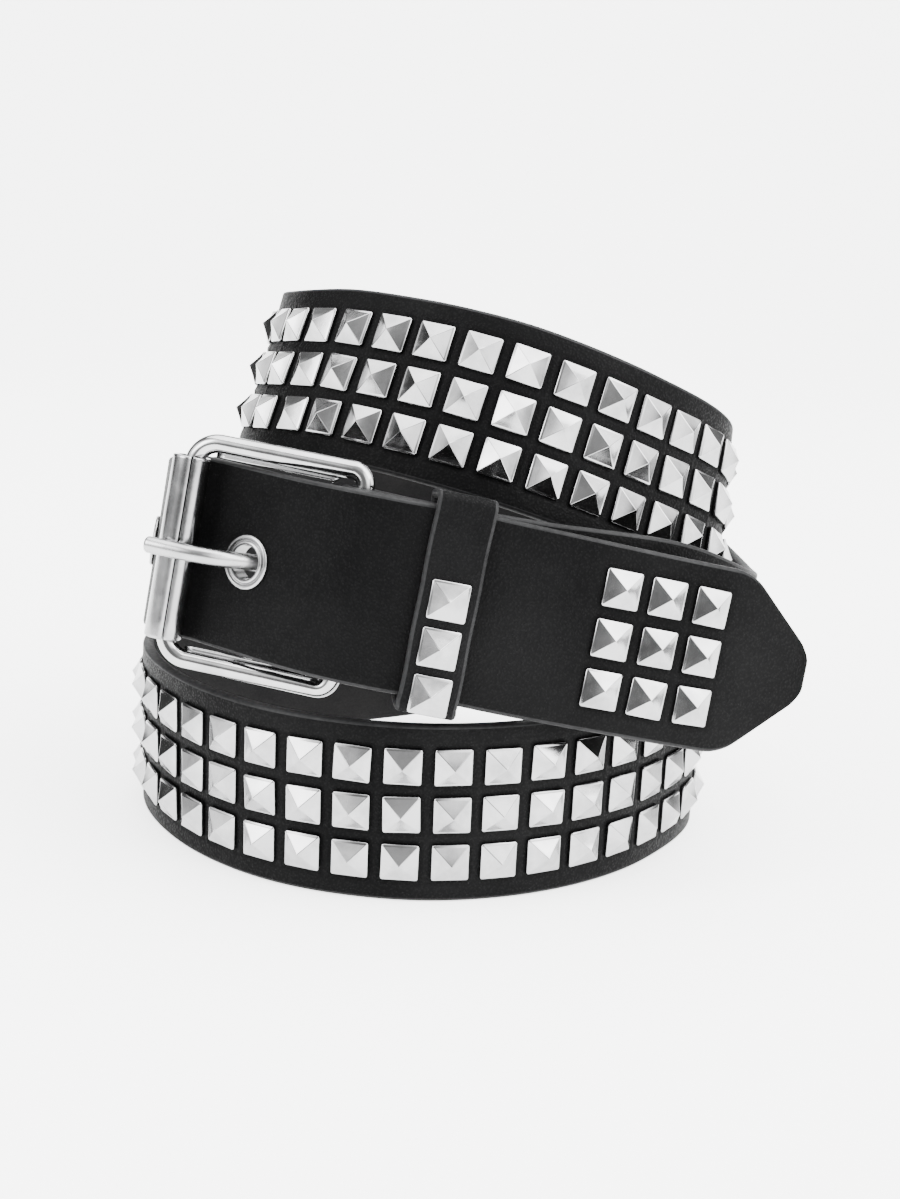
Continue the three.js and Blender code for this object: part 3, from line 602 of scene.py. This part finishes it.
def distance_from_seats(run):
    """0 where the strap is seated against metal, 1 well away from it."""
    seats = np.array([
        0.0, eyelet_length - EYELET_ALONG, eyelet_length, keeper_length, length_at_buckle(BAR_ALONG),
    ])
    near = np.abs(run[:, None] - seats[None]).min(1)
    return (near - 6) / 20


def cut(obj, cutter):
    modifier = obj.modifiers.new("cut", "BOOLEAN")
    modifier.operation = "DIFFERENCE"
    modifier.solver = "EXACT"
    modifier.object = cutter
    bpy.context.view_layer.update()
    graph = bpy.context.evaluated_depsgraph_get()
    mesh = bpy.data.meshes.new_from_object(obj.evaluated_get(graph))
    obj.modifiers.clear()
    old = obj.data
    obj.data = mesh
    bpy.data.meshes.remove(old)
    bpy.data.objects.remove(cutter)


def hole_cutter():
    points, faces = [], []
    for k in range(EYELET_COUNT):
        place, along, up, out = (a[0] for a in strap_at(eyelet_length - k * EYELET_PITCH))
        base = len(points)
        ring = circle(4.25, 40)
        for side in (-1, 1):
            points += [place + x * along + y * up + side * STRAP_THICKNESS * out for x, y in ring]
        n = len(ring)
        faces += [(base + i, base + (i + 1) % n, base + n + (i + 1) % n, base + n + i) for i in range(n)]
        faces.append(tuple(base + i for i in range(n - 1, -1, -1)))
        faces.append(tuple(base + n + i for i in range(n)))
    reach, width, length = FOLD_OUT + LEAF_FACE + 0.6, 2.4, 9.5
    outline = [(length, -reach), (length, reach)]
    turns = np.linspace(math.pi / 2, math.pi * 1.5, 17)
    outline += [(reach * math.cos(a), reach * math.sin(a)) for a in turns]
    base, n = len(points), len(outline)
    for side in (-1, 1):
        points += [in_buckle(BAR_ALONG + x, side * width, y) for x, y in outline]
    faces += [(base + i, base + (i + 1) % n, base + n + (i + 1) % n, base + n + i) for i in range(n)]
    faces.append(tuple(base + i for i in range(n - 1, -1, -1)))
    faces.append(tuple(base + n + i for i in range(n)))
    cutter = mesh_object("cutter", metres(np.array(points)), faces, [strap_edge])
    tidy_normals(cutter)
    return cutter


# ---- studs

def stud_shape():
    """A pressed pyramid: rings of a square with cut corners, from the rim up to the apex."""
    rings = [
        (3.86, 0.5, -0.35), (3.9, 0.55, 0.25), (3.88, 0.5, 0.42), (3.8, 0.42, 0.55), (3.66, 0.3, 0.63),
        (3.44, 0.16, 0.72), (3.34, 0.13, 0.78), (2.3, 0.12, 1.37), (1.2, 0.11, 2.07), (0.2, 0.1, 2.76),
        (0.08, 0.04, 2.86),
    ]
    points, faces = [], []
    for half, cutting, height in rings:
        for corner in range(4):
            turn = math.pi / 2 * corner
            centre = half - cutting
            for a in np.linspace(0, math.pi / 2, CORNER_POINTS):
                x, y = centre + cutting * math.cos(a), centre + cutting * math.sin(a)
                turned_x = x * math.cos(turn) - y * math.sin(turn)
                turned_y = x * math.sin(turn) + y * math.cos(turn)
                points.append((turned_x, turned_y, height))
    sides = 4 * CORNER_POINTS
    faces = grid_faces(len(rings), sides)
    points.append((0, 0, STUD_HEIGHT))
    top, last = len(points) - 1, (len(rings) - 1) * sides
    faces += [(last + j, last + (j + 1) % sides, top) for j in range(sides)]
    faces.append(tuple(range(sides - 1, -1, -1)))
    return np.array(points), faces


CORNER_POINTS = 3
FACET_RING = 6
STUD_POINTS, STUD_FACES = stud_shape()


def crease(mesh):
    """Sharp edges down the four corners of each pyramid and where its facets start."""
    ends = np.empty(len(mesh.edges) * 2, np.int64)
    mesh.edges.foreach_get("vertices", ends)
    local = ends.reshape(-1, 2) % len(STUD_POINTS)
    ring, column = local // (4 * CORNER_POINTS), local % (4 * CORNER_POINTS)
    down = (ring.min(1) >= FACET_RING) & (ring[:, 0] != ring[:, 1]) & (column[:, 0] % CORNER_POINTS != 1)
    start = (ring[:, 0] == FACET_RING) & (ring[:, 1] == FACET_RING)
    mesh.edges.foreach_set("use_edge_sharp", down | start)


def stud_points(place, along, up, out, across, outward, rng):
    """One stud, set a touch unevenly as a hand press sets it."""
    tilt_x, tilt_y, spin = (math.radians(rng.gauss(0, s)) for s in (0.9, 0.9, 0.8))
    height = STUD_POINTS[:, 2] * rng.uniform(0.97, 1.02)
    x = STUD_POINTS[:, 0] * math.cos(spin) - STUD_POINTS[:, 1] * math.sin(spin)
    y = STUD_POINTS[:, 0] * math.sin(spin) + STUD_POINTS[:, 1] * math.cos(spin)
    z = height + x * math.sin(tilt_x) + y * math.sin(tilt_y)
    x = x + rng.gauss(0, 0.05)
    y = y + rng.gauss(0, 0.05)
    return (place + x[:, None] * along + (across + y)[:, None] * up + (outward + z)[:, None] * out)


def build_studs(name, seats, seed):
    rng = random.Random(seed)
    points, faces = [], []
    for place, along, up, out, across, outward in seats:
        base = len(points) * len(STUD_POINTS)
        points.append(stud_points(place, along, up, out, across, outward, rng))
        faces += [tuple(i + base for i in f) for f in STUD_FACES]
    studs = mesh_object(name, metres(np.vstack(points)), faces, [stud_metal])
    crease(studs.data)
    return studs


def strap_seats(lengths, rows=range(STUD_ROWS), outward=LEAF_FACE - 0.02):
    seats = []
    for length in lengths:
        place, along, up, out = (a[0] for a in strap_at(length))
        seats += [(place, along, up, out, row_height(r), outward) for r in rows]
    return seats


# ---- buckle

def frame_outline(extra=0.0):
    half = FRAME_HEIGHT / 2 - WIRE_RADIUS - extra
    points = []

    def arc(x, y, r, start, steps=14):
        for a in np.radians(np.linspace(start, start + 90, steps)):
            points.append((x + r * math.cos(a), y + r * math.sin(a)))

    free, tight = FRAME_CORNER - extra, BAR_CORNER - extra
    for y in np.linspace(-0.15, -half + free, 8)[:-1]:
        points.append((extra, y))
    arc(extra + free, -half + free, free, 180)
    for x in np.linspace(extra + free, BAR_ALONG - tight, 12)[1:-1]:
        points.append((x, -half))
    arc(BAR_ALONG - extra - tight, -half + tight, tight, 270)
    for y in np.linspace(-half + tight, half - tight, 12)[1:-1]:
        points.append((BAR_ALONG - extra, y))
    arc(BAR_ALONG - extra - tight, half - tight, tight, 0)
    for x in np.linspace(BAR_ALONG - tight, extra + free, 12)[1:-1]:
        points.append((x, half))
    arc(extra + free, half - free, free, 90)
    for y in np.linspace(half - free, 0.15, 8)[1:]:
        points.append((extra, y))
    return np.array(points)


def buckle_points(plane, out=0.0):
    return in_buckle(plane[:, 0], plane[:, 1], np.full(len(plane), out))


def build_frame():
    plane = frame_outline()
    points = buckle_points(plane)
    along = unit(np.gradient(points, axis=0))
    side = np.cross(along, buckle_out)
    other = np.repeat(buckle_out[None], len(points), 0)
    tube, faces = sweep(points, side, other, circle(WIRE_RADIUS, 28))

    # a thin lip inside the two long sides, set back from the wire's crown
    half = FRAME_HEIGHT / 2 - WIRE_RADIUS
    lip = 0.3
    section = [(0.9, 0.2), (2.35, 0.2)]
    section += [(2.6 + lip * math.cos(a), lip * math.sin(a)) for a in np.radians(np.linspace(120, -120, 9))]
    section += [(2.35, -0.2), (0.9, -0.2)]
    section = np.array(section)
    all_points, all_faces = [tube], list(faces)
    base = len(tube)
    for side_sign in (-1, 1):
        xs = np.linspace(4.5, 28.5, 14)
        rail = [(x, side_sign * half) for x in xs]
        for a in np.radians(np.linspace(90, 30, 6)[1:]):
            rail.append((28.5 + 3.4 * math.cos(a), side_sign * (half - 3.4 + 3.4 * math.sin(a))))
        rail = np.array(rail)
        centre = in_buckle(rail[:, 0], rail[:, 1], np.full(len(rail), -0.35))
        run = unit(np.gradient(centre, axis=0))
        inward = np.cross(run, buckle_out) * side_sign
        inward = np.where((inward @ buckle_up)[:, None] * side_sign > 0, -inward, inward)
        strip, strip_faces = sweep(centre, inward, np.repeat(buckle_out[None], len(rail), 0), section)
        all_points.append(strip)
        all_faces += [tuple(i + base for i in f) for f in strip_faces]
        base += len(strip)
    frame_piece = mesh_object("frame_dressed", metres(np.vstack(all_points)), all_faces, [frame_metal])
    tidy_normals(frame_piece)
    return frame_piece


def build_roller():
    """A sheet rolled into a tube, with an open seam and rounded ends."""
    steps = 76
    seam = math.radians(ROLLER_SEAM_ANGLE)
    half_seam = ROLLER_SEAM / 2 / ROLLER_SHOWN
    turns = np.linspace(seam + half_seam, seam + 2 * math.pi - half_seam, steps)
    half = ROLLER_LENGTH / 2
    stations = [(-half, -0.3), (-half + 0.08, -0.12), (-half + 0.25, -0.02), (-half + 0.6, 0.0)]
    stations += [(y, 0.0) for y in np.linspace(-half + 4, half - 4, 5)]
    stations += [(-y, s) for y, s in reversed(stations[:4])]
    tuck = np.zeros(steps)
    tuck[:3] = tuck[-3:][::-1] = [-0.22, -0.08, -0.02]
    points = []
    for y, shrink in stations:
        outer = ROLLER_SHOWN + shrink + tuck
        inner = np.full(steps, ROLLER_BORE)
        radii = np.r_[outer, inner[::-1]]
        angles = np.r_[turns, turns[::-1]]
        level = np.full(2 * steps, y)
        points.append(in_buckle(radii * np.cos(angles) - ROLLER_SLACK, level, radii * np.sin(angles)))
    sides = 2 * steps
    faces = grid_faces(len(stations), sides)
    for row, flip in ((0, True), (len(stations) - 1, False)):
        base = row * sides
        for i in range(steps - 1):
            quad = (base + i, base + i + 1, base + sides - 2 - i, base + sides - 1 - i)
            faces.append(quad[::-1] if flip else quad)
    roller = mesh_object("roller_dressed", metres(np.vstack(points)), faces, [roller_metal])
    tidy_normals(roller)
    roller.data.set_sharp_from_angle(angle=math.radians(50))
    return roller


PRONG_FRONT = [(0.36, 0.99), (0.66, 0.708), (1, 0.019)]
PRONG_BEHIND = [(0.254, 1.02), (0.482, 1.343), (0.797, 1.129), (1, 1)]


def build_prong():
    loop = WIRE_RADIUS + PIECE_GAP + PRONG_RADIUS
    rest = ROLLER_SHOWN + PIECE_GAP + PRONG_RADIUS
    knots = [(-PRONG_OVERHANG, rest - PIECE_GAP), (0, rest)]
    knots += [(a * EYELET_ALONG, o * rest) for a, o in PRONG_FRONT]
    knots += [(EYELET_ALONG + a * (BAR_ALONG - EYELET_ALONG), -d * loop) for a, d in PRONG_BEHIND]
    rows = np.array([(a, 0.0, o) for a, o in knots], float)
    curve = smooth_rows(rows, 10)[:, [0, 2]]
    bends = np.radians(np.linspace(-90, 150, 19)[1:])
    curve = np.vstack([curve, np.c_[BAR_ALONG + loop * np.cos(bends), loop * np.sin(bends)]])
    points = in_buckle(curve[:, 0], np.zeros(len(curve)), curve[:, 1])
    along = unit(np.gradient(points, axis=0))
    side = np.repeat(buckle_up[None], len(points), 0)
    other = np.cross(along, side)
    travel = np.r_[0, np.cumsum(np.linalg.norm(np.diff(points, axis=0), axis=1))]
    size = np.ones(len(points))
    scale = np.c_[size * 1.03, size * (1 - 0.1 * np.exp(-travel / 5))]
    ring = circle(PRONG_RADIUS, 24)
    sections = ring[None] * scale[:, None, :]

    # rounded ends
    def cap(index, sign):
        rings = []
        for a in np.radians([80, 60, 38, 16]):
            reach = sign * along[index] * PRONG_RADIUS * 0.55 * math.sin(a)
            rings.append((points[index] + reach, math.cos(a)))
        return rings

    front = cap(0, -1)
    back = cap(-1, 1)[::-1]
    centres = np.vstack([[c for c, _ in front], points, [c for c, _ in back]])
    shares = np.r_[[s for _, s in front], np.ones(len(points)), [s for _, s in back]]
    sections = np.concatenate([np.repeat(sections[:1], 4, 0), sections, np.repeat(sections[-1:], 4, 0)])
    sections = sections * shares[:, None, None]
    side = np.repeat(buckle_up[None], len(centres), 0)
    other = np.vstack([np.repeat(other[:1], 4, 0), other, np.repeat(other[-1:], 4, 0)])
    tube, faces = sweep(centres, side, other, sections)
    prong = mesh_object("prong_dressed", metres(tube), faces, [prong_metal])
    tidy_normals(prong)
    return prong


def build_eyelet(name, length):
    """A pressed eyelet: rolled outer rim, groove, inner roll, barrel and clenched back."""
    place, along, up, out = (a[0] for a in strap_at(length))
    front, back = LEAF_FACE + 0.02, -LEAF_FACE - 0.1
    profile = [(5.45, front - 0.12), (5.6, front + 0.12)]
    rim = np.radians(np.linspace(10, 165, 9))
    roll = np.radians(np.linspace(10, 175, 9))
    clench = np.radians(np.linspace(190, 270, 4))
    profile += [(5.1 + 0.5 * math.cos(a), front + 0.3 + 0.42 * math.sin(a)) for a in rim]
    profile += [(4.5, front + 0.36), (4.38, front + 0.36)]
    profile += [(3.93 + 0.4 * math.cos(a), front + 0.42 + 0.4 * math.sin(a)) for a in roll]
    profile += [(3.5, front), (3.48, 0.0), (3.5, back - 0.1)]
    profile += [(3.9 + 0.4 * math.cos(a), back - 0.15 + 0.35 * math.sin(a)) for a in clench]
    profile += [(4.9, back - 0.4), (5.0, back - 0.25), (4.98, back + 0.05)]
    profile += [(4.1, back + 0.1), (4.1, front - 0.1)]
    turns = np.arange(56) * 2 * math.pi / 56
    points = []
    for r, n in profile:
        x, y = (r * np.cos(turns))[:, None], (r * np.sin(turns))[:, None]
        points.append(place + x * along + y * up + n * out)
    faces = grid_faces(len(profile), 56, wrap_rows=True)
    eyelet = mesh_object(name, metres(np.vstack(points)), faces, [eyelet_metal])
    tidy_normals(eyelet)
    eyelet.data.set_sharp_from_angle(angle=math.radians(42))
    return eyelet


# ---- keeper

def build_keeper():
    """A leather band bent round the strap: a rounded loop with a soft-edged section."""
    outer_in, outer_out = keeper_in - KEEPER_WALL, keeper_out + KEEPER_WALL
    middle = KEEPER_WALL / 2
    left, right = outer_in + middle, outer_out - middle
    half, r = keeper_half - middle, 1.25
    loop = []

    def arc(x, y, start):
        for a in np.radians(np.linspace(start, start + 90, 9)):
            loop.append((x + r * math.cos(a), y + r * math.sin(a), math.cos(a), math.sin(a)))

    def side(x0, y0, x1, y1, nx, ny, steps):
        for t in np.linspace(0, 1, steps + 2)[1:-1]:
            loop.append((x0 + (x1 - x0) * t, y0 + (y1 - y0) * t, nx, ny))

    side(right, -half + r, right, half - r, 1, 0, 26)
    arc(right - r, half - r, 0)
    side(right - r, half, left + r, half, 0, 1, 6)
    arc(left + r, half - r, 90)
    side(left, half - r, left, -half + r, -1, 0, 26)
    arc(left + r, -half + r, 180)
    side(left + r, -half, right - r, -half, 0, -1, 6)
    arc(right - r, -half + r, 270)
    loop = np.array(loop)
    rounding = 0.75
    wide, thick = KEEPER_WIDTH / 2, KEEPER_WALL / 2
    across = [wide - rounding, 4.0, 2.0, 0.0, -2.0, -4.0, -(wide - rounding)]
    section = [(a, thick, 0) for a in across]
    turns = np.radians(np.linspace(90, -90, 9)[1:-1])
    section[-1] = (*section[-1][:2], 1)
    section += [(-(wide - rounding) - rounding * math.cos(t), thick * math.sin(t), 1) for t in turns]
    section += [(a, -thick, 2) for a in reversed(across)]
    section[-1] = (*section[-1][:2], 1)
    section += [((wide - rounding) + rounding * math.cos(t), -thick * math.sin(t), 1) for t in turns]
    points = []
    for i, (x, y, nx, ny) in enumerate(loop):
        wobble = 0.07 * math.sin(i * 0.55) + 0.05 * math.sin(i * 0.23 + 1)
        for a, n, _ in section:
            spot = keeper_place + keeper_outwards * (x + nx * n) + keeper_up * (y + ny * n)
            points.append(spot + keeper_along * (a + wobble))
    kinds = [k for _, _, k in section]
    faces = grid_faces(len(loop), len(section), wrap_rows=True)
    face_kind = [kinds[k % len(section)] for k in range(len(faces))]
    materials = [keeper_face, strap_edge, strap_back]
    keeper = mesh_object("keeper_dressed", metres(np.array(points)), faces, materials, face_kind)
    tidy_normals(keeper)
    return keeper


def finish_piece(obj, slot, *nodes):
    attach(obj, "root")
    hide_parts(*nodes)


strap = build_strap()
cut(strap, hole_cutter())
finish_piece(strap, "leather", "strap_bar_half", "strap_tip_half")

field_columns, tip_columns = stud_columns_at()
field = build_studs("strap_studs", strap_seats(field_columns), 11)
finish_piece(field, "stud_metal", "strap_bar_half", "strap_tip_half")
for column, length in enumerate(tip_columns):
    for row in range(STUD_ROWS):
        index = column * STUD_ROWS + row + 1
        stud = build_studs(f"tip_stud_dressed_{index}", strap_seats([length], [row]), 40 + index)
        finish_piece(stud, "stud_metal", f"tip_stud_{index}")

KEEPER_STUD_MARGIN = 0.4
KEEPER_STUD_PITCH = 9.3
keeper = build_keeper()
finish_piece(keeper, "keeper_leather", "keeper")
for index in range(3):
    height = -keeper_half + KEEPER_STUD_MARGIN + STUD_SIZE / 2 + index * KEEPER_STUD_PITCH
    seat = (keeper_place, keeper_along, keeper_up, keeper_outwards, height, keeper_out + KEEPER_WALL - 0.05)
    stud = build_studs(f"keeper_stud_dressed_{index + 1}", [seat], 60 + index)
    finish_piece(stud, "stud_metal", f"keeper_stud_{index + 1}")

finish_piece(build_frame(), "buckle_metal", "buckle_frame")
finish_piece(build_roller(), "roller_metal", "buckle_roller")
finish_piece(build_prong(), "buckle_metal", "buckle_prong")
for index in range(EYELET_COUNT):
    ring = build_eyelet(f"eyelet_dressed_{index + 1}", eyelet_length - index * EYELET_PITCH)
    finish_piece(ring, "eyelet_metal", f"eyelet_{index + 1}")


# ---- floor, light and camera

def build_floor():
    depth = [(-1.6, 0.0), (0.9, 0.0)]
    for a in np.radians(np.linspace(0, 90, 13)[1:]):
        depth.append((0.9 + 0.7 * math.sin(a), 0.7 - 0.7 * math.cos(a)))
    depth.append((1.6, 2.4))
    points = [(x, y, z) for y, z in depth for x in (-2.2, 2.2)]
    faces = [(2 * i, 2 * i + 1, 2 * i + 3, 2 * i + 2) for i in range(len(depth) - 1)]
    material, nodes, links, shader, place = new_material("floor")
    tone = noise(nodes, links, place, 2.0, 2.0)
    paper = ramp(nodes, links, tone, [(0.3, (0.86, 0.865, 0.865)), (0.7, (0.885, 0.89, 0.89))])
    # Painted shade: the floor's colour and its glow are dimmed in the back corners where it curves up, and
    # across the backdrop above 0.34 m, down to 6% of full.
    split = nodes.new("ShaderNodeSeparateXYZ")
    links.new(place, split.inputs[0])
    width = math_node(nodes, links, "ABSOLUTE", split.outputs["X"])
    aside = map_range(nodes, links, width, 0.6, 1.0, 0.0, 1.0)
    raised = map_range(nodes, links, split.outputs["Z"], 0.03, 0.22, 0.0, 1.0)
    above = map_range(nodes, links, split.outputs["Z"], 0.34, 0.7, 0.0, 0.8)
    corner = math_node(nodes, links, "MULTIPLY", aside, raised)
    shade = math_node(nodes, links, "MAXIMUM", corner, above)
    lit = map_range(nodes, links, shade, 0.0, 1.0, 1.0, 0.06)
    dim = nodes.new("ShaderNodeVectorMath")
    dim.operation = "SCALE"
    links.new(paper, dim.inputs[0])
    links.new(lit, dim.inputs["Scale"])
    links.new(dim.outputs["Vector"], shader.inputs["Base Color"])
    links.new(math_node(nodes, links, "MULTIPLY", lit, 2.4), shader.inputs["Emission Strength"])
    shader.inputs["Roughness"].default_value = 0.75
    shader.inputs["Specular IOR Level"].default_value = 0.2
    shader.inputs["Emission Color"].default_value = (1.0, 1.0, 0.998, 1.0)
    floor = mesh_object("floor", points, faces, [material])
    return floor


def area_light(name, place, target, size, power, size_y=None):
    light = bpy.data.lights.new(name, "AREA")
    light.shape = "RECTANGLE"
    light.size = size
    light.size_y = size_y or size
    light.energy = power
    obj = bpy.data.objects.new(name, light)
    obj.location = place
    direction = Vector(target) - Vector(place)
    obj.rotation_euler = direction.to_track_quat("-Z", "Y").to_euler()
    bpy.context.scene.collection.objects.link(obj)
    return obj


def toward(azimuth, elevation):
    """Direction at an azimuth from -Y towards +X and an elevation, in degrees."""
    turn, rise = math.radians(azimuth), math.radians(elevation)
    return Vector((math.sin(turn) * math.cos(rise), -math.cos(turn) * math.cos(rise), math.sin(rise)))


def build_world():
    """A grey room: a dark gap in front, dark corners behind, pale at the right and above."""
    world = bpy.data.worlds.new("studio")
    bpy.context.scene.world = world
    world.use_nodes = True
    nodes, links = world.node_tree.nodes, world.node_tree.links
    nodes.clear()
    output = nodes.new("ShaderNodeOutputWorld")
    background = nodes.new("ShaderNodeBackground")
    links.new(background.outputs[0], output.inputs[0])
    place = nodes.new("ShaderNodeTexCoord").outputs["Generated"]

    def patch(azimuth, elevation, inner, outer, at_edge, at_middle):
        dot = nodes.new("ShaderNodeVectorMath")
        dot.operation = "DOT_PRODUCT"
        links.new(place, dot.inputs[0])
        dot.inputs[1].default_value = toward(azimuth, elevation)
        start, full = math.cos(math.radians(outer)), math.cos(math.radians(inner))
        return map_range(nodes, links, dot.outputs["Value"], start, full, at_edge, at_middle)

    level = 1.0
    for azimuth, elevation, inner, outer, share in (
        (-14, 13, 10, 30, 0.4), (-116, 12, 14, 30, 0.12), (122, 15, 10, 24, 0.15), (-134, 50, 12, 26, 0.35),
    ):
        shade = patch(azimuth, elevation, inner, outer, 1.0, share)
        level = math_node(nodes, links, "MULTIPLY", level, shade)
    for azimuth, elevation, inner, outer, strength in (
        (40, 25, 10, 28, 5.0), (92, 45, 22, 44, 5.0), (-57, 33, 12, 28, 5.0), (-92, 27, 6, 18, 2.0),
        (0, 90, 16, 40, 1.0), (88, 0, 8, 22, 4.0),
    ):
        glow = patch(azimuth, elevation, inner, outer, 0.0, strength)
        level = math_node(nodes, links, "ADD", level, glow)
    links.new(level, background.inputs["Color"])
    background.inputs["Strength"].default_value = 1.0


# The camera at the photo's angle: degrees, millimetres, and the focal length in pixels
CAMERA_ELEVATION = 14.326
CAMERA_ROLL = 2.621
CAMERA_TARGET = (4.924, 0.0, 49.739)
CAMERA_DISTANCE = 382.139
FOCAL_PIXELS = 1665.0
PHOTO_HEIGHT = 1199.0
SENSOR = 36.0


def build_camera():
    elevation, roll = math.radians(CAMERA_ELEVATION), math.radians(CAMERA_ROLL)
    target = metres(np.array(CAMERA_TARGET))
    forward = np.array([0, math.cos(elevation), -math.sin(elevation)])
    upward = np.array([0, math.sin(elevation), math.cos(elevation)])
    right = np.array([1.0, 0, 0])
    camera_right = right * math.cos(roll) + upward * math.sin(roll)
    camera_up = upward * math.cos(roll) - right * math.sin(roll)
    data = bpy.data.cameras.new("camera")
    data.sensor_width = SENSOR
    data.lens = FOCAL_PIXELS * SENSOR / PHOTO_HEIGHT
    data.clip_start = 0.01
    camera = bpy.data.objects.new("camera", data)
    place = target - forward * CAMERA_DISTANCE * MM
    basis = Matrix((camera_right, camera_up, -forward)).transposed().to_4x4()
    camera.matrix_world = Matrix.Translation(Vector(place)) @ basis
    bpy.context.scene.collection.objects.link(camera)
    bpy.context.scene.camera = camera


build_floor()
build_world()
area_light("overhead", (-0.05, 0.15, 1.15), (0, 0, 0.05), 1.2, 28.0)
area_light("right", toward(72, 46) * 1.25, (0, 0, 0.06), 0.8, 13.0)
area_light("left_front", toward(-57, 34) * 1.2, (0, 0, 0.08), 0.5, 7.0)
build_camera()
